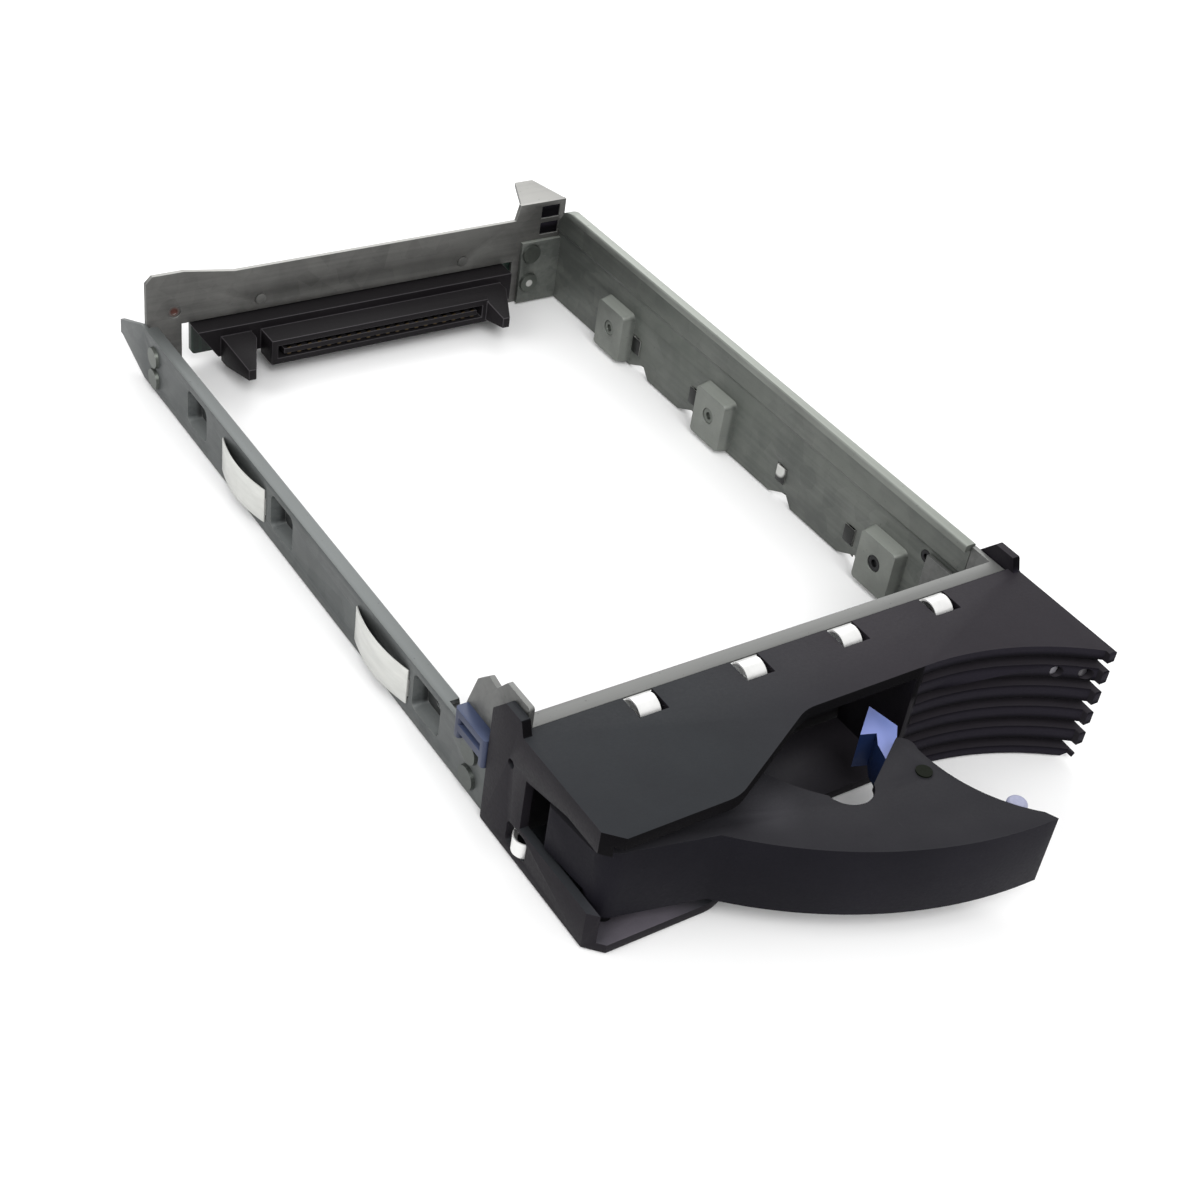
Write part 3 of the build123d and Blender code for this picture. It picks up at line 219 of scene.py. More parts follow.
def zinc_sheet(name, dark, light, grain, top_dust_and_highlight, pad_light_and_shade=None, rust_mm=None, shade_mm=None):
    """Dulled galvanised sheet: soft mottling, faint drawing lines, paler where it looks up with dust and a painted
    highlight, fine pits.

    The pads can have painted light and shade of their own, a place can rust, and painted shade can make the
    faces before and below two limits near black.
    """
    finish = Finish(name)
    clouds = finish.noise(scale=45.0, detail=6.0, roughness=0.62)
    broad = finish.noise(scale=14.0, detail=3.0, roughness=0.5)
    lines = finish.lines(grain, detail=3.0, roughness=0.6)
    cells = finish.node("ShaderNodeTexVoronoi", {"feature": "F1"}, Vector=finish.place, Scale=260.0,
                        Randomness=1.0)["Color"]
    spangle = finish.node("ShaderNodeSeparateColor", Color=cells)["Red"]
    pits = finish.ramp(finish.noise(scale=1300.0, detail=2.0, roughness=0.5), 0.68, 0.78)
    mottling = (clouds * 0.52 + spangle * 0.06 + lines * 0.22 + broad * 0.20).clamped()
    colour = finish.blend(finish.ramp(mottling, 0.36, 0.62), dark, light)
    stains = finish.ramp(finish.noise(scale=22.0, detail=4.0, roughness=0.6), 0.50, 0.68)
    colour = finish.blend(stains * 0.4, colour, (dark[0] * 0.72, dark[1] * 0.80, dark[2] * 0.72))
    # Painted light and shade on the pads' inner faces: lighter pads on the right rail, darker ones on the left rail.
    if pad_light_and_shade:
        inner = finish.ramp(finish.along("X").size(), (PAD_FACE_MM + PAD_FACE_BLEND_MM) * MM, PAD_FACE_MM * MM)
        pad = inner * finish.past("Y", PADS_END_MM + PADS_END_BLEND_MM, PADS_END_MM)
        painted_pad_tone = finish.blend(finish.ramp(clouds, 0.35, 0.65), scaled(light, pad_light_and_shade[0]), scaled(light, pad_light_and_shade[1]))
        colour = finish.blend(pad * 0.85, colour, painted_pad_tone)
    if rust_mm:
        colour = finish.blend(finish.near(rust_mm, RUST_INNER_MM, RUST_OUTER_MM) * 0.85, colour, RUST)
    # Faces that look up are paler: dust and a painted highlight.
    lit = finish.blend((lines * 0.5 + clouds * 0.5).clamped(), scaled(light, top_dust_and_highlight[0]), scaled(light, top_dust_and_highlight[1]))
    colour = finish.blend(finish.facing("Z", 0.55, 0.98), colour, lit)
    colour = finish.blend(pits * 0.4, colour, scaled(dark, 0.4))
    # Painted shade: near black on the faces before and below the two limits.
    if shade_mm:
        before_mm, below_mm = shade_mm
        film_and_painted_shade = (finish.past("Y", before_mm + SHADE_FRONT_BLEND_MM, before_mm)
                * finish.past("Z", below_mm + SHADE_TOP_BLEND_MM, below_mm))
        colour = finish.blend(film_and_painted_shade, colour, finish.blend(clouds, WALL_SHADE_DARK, WALL_SHADE_LIGHT))
    relief = lines * 0.5 + spangle * 0.08 + clouds * 0.4
    return finish.finished(Base_Color=colour, Metallic=0.5, Roughness=lines * 0.16 + clouds * 0.2 + 0.34,
                           Normal=finish.bump(relief, strength=0.14, depth_mm=0.4))


def sheared_edge(name, dark, light):
    """Bright cut edge of the sheet, with fine shear marks."""
    finish = Finish(name)
    marks = finish.noise(scale=2100.0, detail=2.0, roughness=0.5)
    colour = finish.blend(finish.ramp(marks, 0.3, 0.7), dark, light)
    return finish.finished(Base_Color=colour, Metallic=0.6, Roughness=marks * 0.15 + 0.3,
                           Normal=finish.bump(marks, strength=0.1, depth_mm=0.1))


# The louvres' shading: where they begin, their pitch and the height that the pattern of ridges counts from
LOUVRES_LEFT_MM = 19.0
LOUVRES_LEFT_BLEND_MM = 0.8
LOUVRE_PITCH_MM = 5.1
RIDGE_SHIFT_MM = 30.0
RIDGE_FLAT_MM = 0.3
RIDGE_FOOT_MM = 1.8
# Painted shade on the louvres' fronts: the ridges' colour and the darker colour of the grooves
RIDGE_COLOUR = (0.0110, 0.0095, 0.0145)
GROOVE_SHADE_COLOUR = (0.0010, 0.0008, 0.0015)
# The top plate's front lip, which the handle shades
LIP_LOW_MM = 18.0
LIP_HIGH_MM = 20.0
LIP_SHADE_COLOUR = (0.0010, 0.0008, 0.0012)
# Where the cool dust and sheen of the left side give way to the plain dust and sheen
COOL_DUST_AND_SHEEN_MM = (-25.0, 30.0)


def moulded(name, dark, light, grain, gloss, dust_and_sheen, pale_places=(), shine=0.10, cool_dust_and_sheen=None, ridged=False):
    """Moulded black plastic: fine grain, soft drift, paler on faces that look up with dust and a painted sheen,
    scuffs.

    Each pale place is its centre, inner and outer distance in mm and its strength. The ridged finish has
    painted shade in the grooves between the louvres and on the front lip.
    """
    finish = Finish(name)
    drift = finish.noise(scale=24.0, detail=4.0, roughness=0.5)
    texture = finish.noise(scale=grain, detail=2.0, roughness=0.5)
    film_and_painted_shade = finish.noise(scale=70.0, detail=6.0, roughness=0.65)
    scuffs = finish.ramp(finish.lines((2600.0, 260.0, 900.0), detail=3.0, roughness=0.6), 0.69, 0.77)
    colour = finish.blend(finish.ramp(drift, 0.3, 0.7), dark, light)
    # Faces that look up are paler: dust and a painted sheen, cooler on the left side.
    upward_dust_and_sheen = dust_and_sheen
    if cool_dust_and_sheen:
        rightwards = finish.ramp(finish.along("X") + drift * 0.02, COOL_DUST_AND_SHEEN_MM[0] * MM, COOL_DUST_AND_SHEEN_MM[1] * MM)
        upward_dust_and_sheen = finish.blend(rightwards, cool_dust_and_sheen, dust_and_sheen)
    colour = finish.blend(finish.facing("Z", 0.5, 0.98) * (film_and_painted_shade * 0.5 + 0.5), colour, upward_dust_and_sheen)
    # Pale places: patches paler still; the handle root's is a painted highlight.
    for place_mm, inner_mm, outer_mm, strength in pale_places:
        patch = finish.near(place_mm, inner_mm, outer_mm) * finish.facing("Z", 0.4, 0.9) * strength
        colour = finish.blend(patch * (film_and_painted_shade * 0.6 + 0.4), colour, scaled(dust_and_sheen, 4.0))
    colour = finish.blend(scuffs * 0.16, colour, scaled(dust_and_sheen, 2.0))
    rough = texture * 0.16 + film_and_painted_shade * 0.12 + gloss
    if ridged:
        front = finish.facing("Y", -0.2, -0.5)
        louvres = finish.past("X", LOUVRES_LEFT_MM, LOUVRES_LEFT_MM + LOUVRES_LEFT_BLEND_MM)
        off_ridge = (finish.along("Z") + RIDGE_SHIFT_MM * MM).math("PINGPONG", LOUVRE_PITCH_MM / 2 * MM)
        groove = finish.ramp(off_ridge, RIDGE_FLAT_MM * MM, RIDGE_FOOT_MM * MM)
        lip = finish.past("Z", LIP_LOW_MM, LIP_HIGH_MM) * (1.0 - louvres)
        # Painted shade: darker in the louvres' grooves and on the front lip.
        colour = finish.blend(front * louvres * 0.95, colour, finish.blend(groove, RIDGE_COLOUR, GROOVE_SHADE_COLOUR))
        colour = finish.blend(front * lip * 0.9, colour, LIP_SHADE_COLOUR)
        rough = rough + (front * louvres * (groove * 0.5 + 0.2) + front * lip * 0.5)
    return finish.finished(Base_Color=colour, Roughness=rough, Specular_IOR_Level=shine,
                           Normal=finish.bump(texture + scuffs * 0.4, strength=0.22, depth_mm=0.12))


# Size of the spot left out of the springs' painted shade
UNSHADED_INNER_MM = 1.6
UNSHADED_OUTER_MM = 2.4


def bright_spring(name, dark, light, painted_shade=None, unshaded_mm=None):
    """Rolled stainless spring strip: fine rolling lines and fingerprints.

    The faces that look left can get painted shade, but for one spot.
    """
    finish = Finish(name)
    lines = finish.lines((700.0, 90.0, 700.0), detail=2.0, roughness=0.5)
    prints = finish.ramp(finish.noise(scale=240.0, detail=4.0, roughness=0.6), 0.5, 0.75)
    colour = finish.blend(lines, dark, light)
    # Painted shade on the faces that look left, but for one spot
    if painted_shade:
        film_and_painted_shade = finish.facing("X", 0.1, -0.4) * (1.0 - finish.near(unshaded_mm, UNSHADED_INNER_MM, UNSHADED_OUTER_MM))
        colour = finish.blend(film_and_painted_shade, colour, finish.blend(lines, scaled(painted_shade, 0.4), painted_shade))
    return finish.finished(Base_Color=colour, Metallic=0.4, Roughness=lines * 0.1 + prints * 0.16 + 0.26,
                           Normal=finish.bump(lines, strength=0.06, depth_mm=0.1))


PALE_BLEND_MM = 0.8
PALE_DARK = (0.24, 0.25, 0.36)
PALE_LIGHT = (0.34, 0.35, 0.46)


def tinted_plastic(name, shaded_wall_dark, shaded_wall_light, lit_top_dark, lit_top_light, pale_before_mm=None):
    """Coloured plastic of the touch points: painted shade on the walls and a painted highlight on faces that look up.

    It can be pale before a limit along Y, where fingers rub it.
    """
    finish = Finish(name)
    flow = finish.ramp(finish.noise(scale=60.0, detail=3.0, roughness=0.5), 0.3, 0.7)
    fine = finish.noise(scale=1500.0, detail=2.0, roughness=0.5)
    # Painted light and shade: deep colours on the walls, light ones on faces that look up
    shaded_walls = finish.blend(flow, shaded_wall_dark, shaded_wall_light)
    colour = finish.blend(finish.facing("Z", 0.80, 0.97), shaded_walls, finish.blend(flow, lit_top_dark, lit_top_light))
    if pale_before_mm:
        pale = finish.past("Y", pale_before_mm, pale_before_mm - PALE_BLEND_MM)
        colour = finish.blend(pale, colour, finish.blend(fine, PALE_DARK, PALE_LIGHT))
    return finish.finished(Base_Color=colour, Roughness=fine * 0.12 + 0.36, Specular_IOR_Level=0.25,
                           Normal=finish.bump(fine, strength=0.08, depth_mm=0.1))


def gold_plate(name, dark, light):
    """Gold flash over nickel on the contact blades, duller where they have been wiped."""
    finish = Finish(name)
    wiped = finish.lines((500.0, 2400.0, 500.0), detail=3.0, roughness=0.5)
    return finish.finished(Base_Color=finish.blend(wiped, dark, light), Metallic=1.0, Roughness=wiped * 0.2 + 0.25)


def solder_mask(name, laminate, tracks_colour):
    """Dark green board: fine parallel tracks in fields under the mask, and a glass weave."""
    finish = Finish(name)
    fields = finish.ramp(finish.noise(scale=55.0, detail=1.0, roughness=0.3), 0.46, 0.50)
    tracks = finish.ramp(finish.bands("Z", 190.0), 0.62, 0.70)
    crossing = finish.ramp(finish.bands("X", 150.0), 0.66, 0.74)
    copper = (tracks * fields + crossing * (1.0 - fields)).clamped()
    weave = finish.noise(scale=2200.0, detail=2.0, roughness=0.5)
    return finish.finished(Base_Color=finish.blend(copper, laminate, tracks_colour), Roughness=weave * 0.1 + 0.34,
                           Normal=finish.bump(copper * 0.6 + weave * 0.2, strength=0.2, depth_mm=0.2))


# A bright spot on one rivet's head
BRIGHT_SPOT = (0.55, 0.55, 0.53)
BRIGHT_SPOT_INNER_MM = 0.75
BRIGHT_SPOT_OUTER_MM = 1.05


def turned_metal(name, dark, light, bright_spot_mm=None):
    """Turned or headed steel pins, screws and rivets, with rings from the tool and a bright spot if asked."""
    finish = Finish(name)
    rings = finish.lines((900.0, 900.0, 4200.0), detail=2.0, roughness=0.5)
    patches = finish.noise(scale=320.0, detail=3.0, roughness=0.6)
    colour = finish.blend((rings * 0.6 + patches * 0.4).clamped(), dark, light)
    if bright_spot_mm:
        colour = finish.blend(finish.near(bright_spot_mm, BRIGHT_SPOT_INNER_MM, BRIGHT_SPOT_OUTER_MM), colour, BRIGHT_SPOT)
    return finish.finished(Base_Color=colour, Metallic=0.8, Roughness=rings * 0.2 + 0.3,
                           Normal=finish.bump(rings, strength=0.12, depth_mm=0.1))


def smoked_pipe(name, dark, light):
    """Frosted, slightly smoked plastic of a light pipe."""
    finish = Finish(name)
    frost = finish.noise(scale=900.0, detail=3.0, roughness=0.5)
    return finish.finished(Base_Color=finish.blend(frost, dark, light), Roughness=frost * 0.15 + 0.35,
                           Coat_Weight=0.15, Normal=finish.bump(frost, strength=0.1, depth_mm=0.1))


def fired_ceramic(name, dark, light):
    """Matt body of a small board component."""
    finish = Finish(name)
    grain = finish.noise(scale=3200.0, detail=2.0, roughness=0.5)
    return finish.finished(Base_Color=finish.blend(grain, dark, light), Roughness=grain * 0.2 + 0.45,
                           Normal=finish.bump(grain, strength=0.15, depth_mm=0.05))


# Where single marks lie
RUSTY_PLUG_MM = (-47.4, 190.4, 14.9)
WALL_SHADE_MM = (28.7, 25.6)
# The one spot left out of the right springs' painted shade
UNSHADED_SPRING_MM = (54.2, 94.6, 7.4)
# A pale patch on the bottom plate's left front corner
CORNER_PALE_PATCH = ((-45.0, 0.5, 2.0), 3.0, 14.0, 1.0)
# A painted highlight on the sloped facet at the handle's root
HANDLE_ROOT_HIGHLIGHT = ((-24.0, 1.0, 20.5), 0.5, 8.0, 0.28)
LOW_PANEL_RIVET_MM = (45.7, 188.3, 5.6)
RUBBED_KNOB_MM = -13.6

GRAIN_ALONG_Y = (900.0, 14.0, 900.0)
GRAIN_ALONG_X = (14.0, 900.0, 900.0)
# Paler tone of the black plastic's faces that look up: dust and a painted sheen
BLACK_DUST_AND_SHEEN = (0.029, 0.026, 0.031)
STRIP_DARK = (0.40, 0.405, 0.385)
STRIP_LIGHT = (0.60, 0.605, 0.58)
finishes = {
    "galvanised_steel": zinc_sheet("zinc_along_the_right", (0.072, 0.078, 0.072), (0.132, 0.140, 0.128),
                                   GRAIN_ALONG_Y, top_dust_and_highlight=(1.5, 2.9), pad_light_and_shade=(1.0, 1.45)),
    "left_steel": zinc_sheet("zinc_along_the_left", (0.046, 0.051, 0.052), (0.094, 0.101, 0.100),
                             GRAIN_ALONG_Y, top_dust_and_highlight=(1.2, 1.9), pad_light_and_shade=(0.12, 0.22)),
    "cross_steel": zinc_sheet("zinc_across_the_tray", (0.070, 0.069, 0.066), (0.130, 0.129, 0.123),
                              GRAIN_ALONG_X, top_dust_and_highlight=(1.8, 3.4), rust_mm=RUSTY_PLUG_MM),
    "wall_steel": zinc_sheet("zinc_of_the_front_wall", (0.070, 0.071, 0.069), (0.128, 0.130, 0.126),
                             GRAIN_ALONG_X, top_dust_and_highlight=(0.9, 1.9), shade_mm=WALL_SHADE_MM),
    "sheared_edge": sheared_edge("zinc_sheared_edge", (0.14, 0.145, 0.14), (0.24, 0.245, 0.235)),
    "left_edge": sheared_edge("zinc_dull_edge", (0.10, 0.105, 0.10), (0.17, 0.175, 0.165)),
    "spring_steel": bright_spring("bright_spring_strip", STRIP_DARK, STRIP_LIGHT),
    "bright_finger": bright_spring("bright_finger_strip", (0.70, 0.70, 0.69), (0.86, 0.86, 0.85)),
    "oiled_spring": bright_spring("oiled_spring_strip", STRIP_DARK, STRIP_LIGHT, painted_shade=(0.008, 0.009, 0.008),
                                  unshaded_mm=UNSHADED_SPRING_MM),
    "black_plastic": moulded("black_bezel_plastic", (0.0075, 0.0065, 0.0085), (0.0125, 0.0110, 0.0140),
                             grain=1900.0, gloss=0.42, dust_and_sheen=BLACK_DUST_AND_SHEEN, pale_places=[CORNER_PALE_PATCH],
                             cool_dust_and_sheen=(0.0265, 0.0292, 0.0325), ridged=True),
    "handle_plastic": moulded("black_handle_plastic", (0.0050, 0.0047, 0.0070), (0.0095, 0.0088, 0.0125),
                              grain=1700.0, gloss=0.40, dust_and_sheen=(0.027, 0.0265, 0.030),
                              pale_places=[HANDLE_ROOT_HIGHLIGHT], shine=0.06),
    "worn_plastic_edge": moulded("rubbed_plastic_edge", (0.010, 0.0095, 0.0115), (0.017, 0.016, 0.018),
                                 grain=1500.0, gloss=0.30, dust_and_sheen=BLACK_DUST_AND_SHEEN),
    "sunk_pin": moulded("sunk_catch_pin", (0.0020, 0.0030, 0.0014), (0.0040, 0.0055, 0.0028),
                        grain=1700.0, gloss=0.6, dust_and_sheen=(0.0075, 0.0095, 0.0060)),
    "connector_plastic": moulded("connector_plastic", (0.007, 0.006, 0.007), (0.012, 0.0105, 0.012),
                                 grain=2400.0, gloss=0.34, dust_and_sheen=(0.015, 0.014, 0.015)),
    # Painted highlight on the connectors' rounded edges
    "connector_edge": moulded("connector_edge", (0.030, 0.028, 0.031), (0.055, 0.052, 0.056),
                              grain=2400.0, gloss=0.26, dust_and_sheen=(0.075, 0.070, 0.075)),
    "blue_plastic": tinted_plastic("blue_catch_plastic", (0.006, 0.013, 0.045), (0.010, 0.022, 0.075),
                                   (0.20, 0.26, 0.58), (0.33, 0.38, 0.74), pale_before_mm=RUBBED_KNOB_MM),
    "clip_plastic": tinted_plastic("blue_clip_plastic", (0.019, 0.025, 0.052), (0.034, 0.043, 0.080),
                                   (0.045, 0.058, 0.11), (0.08, 0.10, 0.17)),
    "contact_metal": gold_plate("contact_gold", (0.20, 0.13, 0.05), (0.42, 0.30, 0.13)),
    # The drive's contacts: gold darkened as painted shade
    "tarnished_contact": gold_plate("tarnished_contact", (0.030, 0.022, 0.013), (0.085, 0.062, 0.034)),
    "board": solder_mask("board_mask", (0.004, 0.011, 0.008), (0.008, 0.022, 0.015)),
    "pin_steel": turned_metal("pin_steel", (0.30, 0.30, 0.29), (0.55, 0.55, 0.53)),
    "screw_steel": turned_metal("screw_steel", (0.12, 0.12, 0.115), (0.22, 0.22, 0.21)),
    "pad_screw": turned_metal("zinc_pad_screw", (0.080, 0.090, 0.078), (0.17, 0.18, 0.165)),
    "panel_rivet": turned_metal("zinc_panel_rivet", (0.075, 0.083, 0.074), (0.115, 0.125, 0.113),
                                bright_spot_mm=LOW_PANEL_RIVET_MM),
    "front_rivet": turned_metal("zinc_front_rivet", (0.055, 0.062, 0.057), (0.085, 0.094, 0.087)),
    # Near-black pin: the pivot pin's own finish, and painted shade on the front pad screw and the rail rivet
    "dark_pin": turned_metal("blackened_pin", (0.010, 0.010, 0.011), (0.028, 0.028, 0.030)),
    "solder": turned_metal("solder", (0.40, 0.40, 0.39), (0.66, 0.66, 0.64)),
    "light_pipe": smoked_pipe("smoked_light_pipe", (0.075, 0.072, 0.085), (0.15, 0.145, 0.16)),
    "dim_light_pipe": smoked_pipe("dim_light_pipe", (0.020, 0.018, 0.022), (0.045, 0.042, 0.048)),
    "capacitor_body": fired_ceramic("capacitor_body", (0.16, 0.11, 0.06), (0.25, 0.18, 0.11)),
    "chip_body": fired_ceramic("chip_body", (0.010, 0.010, 0.011), (0.022, 0.022, 0.024)),
}

# Each node's finish is named after its slot, but for these
finish_of = dict(slot_of)
finish_of.update({
    "left_rail": "left_steel", "rear_panel": "cross_steel", "front_wall": "wall_steel",
    "top_grounding_strip": "bright_finger", "left_grounding_finger": "bright_finger",
    "right_grounding_finger": "bright_finger", "right_rear_spring": "oiled_spring",
    "right_front_spring": "oiled_spring", "rail_clip": "clip_plastic", "latch_pin": "sunk_pin",
    "rear_rivets": "panel_rivet", "front_rivets": "front_rivet", "drive_contacts": "tarnished_contact",
    "handle_pivot_pin": "dark_pin", "fault_light_pipe": "dim_light_pipe", "board_screws": "screw_steel",
})
EDGE_FINISH = {
    "galvanised_steel": "sheared_edge", "cross_steel": "sheared_edge", "wall_steel": "sheared_edge",
    "left_steel": "left_edge", "black_plastic": "worn_plastic_edge", "handle_plastic": "worn_plastic_edge",
    "connector_plastic": "connector_edge",
}

# Meshes: distances that are merged, angles that count as flat, rounded or smooth, and the least share
# of a face's normal along an axis for the face to be turned that way
MERGE_MM = 0.002
SPECK_MM = 0.0002
FLAT_DEG = 0.8
ROUND_FROM_DEG = 30.0
SMOOTH_DEG = 35.0
ROUND_STEPS = 2
QUARTER_TURN = math.radians(90.0)
TURNED_TO = 0.9


def deselect_all():
    """Leaves nothing selected and no object in edit mode."""
    if bpy.context.object and bpy.context.object.mode != "OBJECT":
        bpy.ops.object.mode_set(mode="OBJECT")
    bpy.ops.object.select_all(action="DESELECT")


def pick(piece):
    """Makes the piece the active object and the only selected one."""
    deselect_all()
    bpy.context.view_layer.objects.active = piece
    piece.select_set(True)


def open_mesh(piece):
    """Opens the piece in edit mode with its whole mesh selected."""
    pick(piece)
    bpy.ops.object.mode_set(mode="EDIT")
    bpy.ops.mesh.select_all(action="SELECT")


def close_mesh():
    bpy.ops.object.mode_set(mode="OBJECT")


def new_primitive():
    """The primitive that was just added, with its place and turn in its mesh."""
    bpy.ops.object.transform_apply(location=True, rotation=True, scale=True)
    return bpy.context.object


def paint(obj, *coats):
    """Puts finishes on the object: the first on its faces, a second on its rounded edges."""
    obj.data.materials.clear()
    for coat in coats:
        obj.data.materials.append(coat)


def bevelled(piece, width_mm, edge_slot=-1, clear_specks=True):
    """Rounds the piece's edges with an applied bevel, clears specks and smooths shallow angles."""
    pick(piece)
    bevel = piece.modifiers.new("edge_round", "BEVEL")
    bevel.width = width_mm * MM
    bevel.segments = ROUND_STEPS
    bevel.limit_method = "ANGLE"
    bevel.angle_limit = math.radians(ROUND_FROM_DEG)
    bevel.use_clamp_overlap = True
    bevel.material = edge_slot
    bpy.ops.object.modifier_apply(modifier=bevel.name)
    if clear_specks:
        open_mesh(piece)
        bpy.ops.mesh.dissolve_degenerate(threshold=SPECK_MM * MM)
        close_mesh()
    bpy.ops.object.shade_smooth_by_angle(angle=math.radians(SMOOTH_DEG))


def merged_copy(node):
    """A copy of a CAD node at the origin, with its doubles merged and its flat faces joined."""
    source = nodes[node]
    piece = source.copy()
    piece.data = source.data.copy()
    piece.name = node + "_finished"
    bpy.context.scene.collection.objects.link(piece)
    place = source.matrix_world.copy()
    piece.parent = None
    piece.matrix_world = Matrix.Identity(4)
    piece.data.transform(place)
    open_mesh(piece)
    bpy.ops.mesh.remove_doubles(threshold=MERGE_MM * MM)
    bpy.ops.mesh.dissolve_limited(angle_limit=math.radians(FLAT_DEG))
    close_mesh()
    return piece


def cut_off(place_mm, outwards):
    """In edit mode, cuts the selected mesh off beyond a plane and closes the cut."""
    bpy.ops.mesh.bisect(plane_co=[c * MM for c in place_mm], plane_no=outwards, use_fill=True, clear_outer=True)


def trim_height(piece, low_mm, high_mm):
    """Cuts the piece to a height range."""
    for height_mm, up in ((low_mm, -1.0), (high_mm, 1.0)):
        open_mesh(piece)
        cut_off((0, 0, height_mm), (0, 0, up))
        close_mesh()


LOUVRE_GAP_MM = 2.0
LOUVRE_GAPS_MM = (23.2, 18.1, 13.0, 7.9, 2.8)
LOUVRE_EDGES_FROM_MM = 19.6
LOUVRE_ROUND_MM = 0.75
LOUVRE_ROUND_STEPS = 3
LEVEL_SLACK_MM = 0.02
CORNER_CUT_MM = (-53.0, 0.0, 0.0)
CORNER_OUTWARDS = (-0.7071, -0.7071, 0)


def round_louvres(piece):
    """Cuts the bezel's left front corner and rounds the louvres' outer edges well."""
    levels = [gap + side * LOUVRE_GAP_MM / 2 for gap in LOUVRE_GAPS_MM for side in (-1, 1)]
    open_mesh(piece)
    bpy.ops.mesh.select_mode(type="EDGE")
    cut_off(CORNER_CUT_MM, CORNER_OUTWARDS)
    shell = bmesh.from_edit_mesh(piece.data)
    for edge in shell.edges:
        ends = [vertex.co / MM for vertex in edge.verts]
        level = any(all(abs(end.z - height) < LEVEL_SLACK_MM for end in ends) for height in levels)
        edge.select_set(level and edge.is_convex and min(end.x for end in ends) > LOUVRE_EDGES_FROM_MM)
    bmesh.update_edit_mesh(piece.data)
    bpy.ops.mesh.bevel(offset=LOUVRE_ROUND_MM * MM, segments=LOUVRE_ROUND_STEPS, affect="EDGES",
                       clamp_overlap=True)
    close_mesh()


def softened(node, width_mm):
    """Puts a merged copy with rounded edges and a finish in the place of a CAD node."""
    piece = merged_copy(node)
    if node in TRIM_MM:
        trim_height(piece, *TRIM_MM[node])
    if node == "bezel":
        round_louvres(piece)
    coats = [finishes[finish_of[node]]]
    if finish_of[node] in EDGE_FINISH:
        coats.append(finishes[EDGE_FINISH[finish_of[node]]])
    paint(piece, *coats)
    bevelled(piece, width_mm, edge_slot=len(coats) - 1, clear_specks=node != "bezel")
    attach(piece, body_of[node])
    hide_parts(node)


EDGE_ROUND_MM = {
    "bezel": 0.35, "handle": 0.35, "left_rail": 0.12, "right_rail": 0.12, "rear_panel": 0.12, "front_wall": 0.12,
    "latch_lever": 0.3, "rail_clip": 0.3, "drive_connector": 0.15, "backplane_connector": 0.15,
    "interposer_board": 0.1, "window_insert": 0.1, "left_front_spring": 0.12, "left_rear_spring": 0.12,
    "right_front_spring": 0.12, "right_rear_spring": 0.12,
}
# The left springs are cut to the height that stands out of their windows
TRIM_MM = {"left_front_spring": (2.6, 10.6), "left_rear_spring": (2.6, 10.6)}
for name, node in nodes.items():
    if name in EDGE_ROUND_MM:
        softened(name, EDGE_ROUND_MM[name])
    else:
        paint(node, finishes[finish_of[name]])


def add_piece(obj, name, coat, body="chassis", replaced=None):
    """Names a finished new piece, puts its place into its mesh, finishes it and lets it ride on its body."""
    bpy.context.view_layer.update()
    obj.name = name
    obj.data.name = name
    place = obj.matrix_world.copy()
    obj.matrix_world = Matrix.Identity(4)
    obj.data.transform(place)
    if coat:
        paint(obj, finishes[coat])
    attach(obj, body)
    if replaced:
        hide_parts(replaced)


def select_faces(obj, wanted):
    """In edit mode, selects only the faces that pass the test."""
    bpy.ops.object.mode_set(mode="EDIT")
    bpy.ops.mesh.select_mode(type="FACE")
    bpy.ops.mesh.select_all(action="DESELECT")
    bpy.ops.object.mode_set(mode="OBJECT")
    for face in obj.data.polygons:
        face.select = wanted(face)
    bpy.ops.object.mode_set(mode="EDIT")


def sunk_socket(obj, wanted, rim_mm, sink_mm):
    """Insets the wanted faces by a rim and moves what is left by a vector."""
    select_faces(obj, wanted)
    bpy.ops.mesh.inset(thickness=rim_mm * MM)
    bpy.ops.mesh.extrude_region_move(TRANSFORM_OT_translate={"value": [c * MM for c in sink_mm]})
    close_mesh()


def small_block(coat, centre_mm, size_mm, round_mm, x_mm=0.0):
    """A block of a small board part with rounded edges, in its finish."""
    deselect_all()
    bpy.ops.mesh.primitive_cube_add(size=1.0, location=(x_mm * MM, centre_mm * MM, 0),
                                    scale=[c * MM for c in size_mm])
    block = new_primitive()
    paint(block, finishes[coat])
    bevelled(block, round_mm)
    return block


def joined(parts):
    """Joins the parts into the first one."""
    deselect_all()
    for part in parts:
        part.select_set(True)
    bpy.context.view_layer.objects.active = parts[0]
    bpy.ops.object.join()
    return parts[0]


def copied(obj):
    """A copy with its own mesh."""
    twin = obj.copy()
    twin.data = obj.data.copy()
    bpy.context.scene.collection.objects.link(twin)
    return twin


def shifted(obj, place_mm):
    """Moves the mesh by a place."""
    obj.data.transform(Matrix.Translation(Vector(place_mm) * MM))


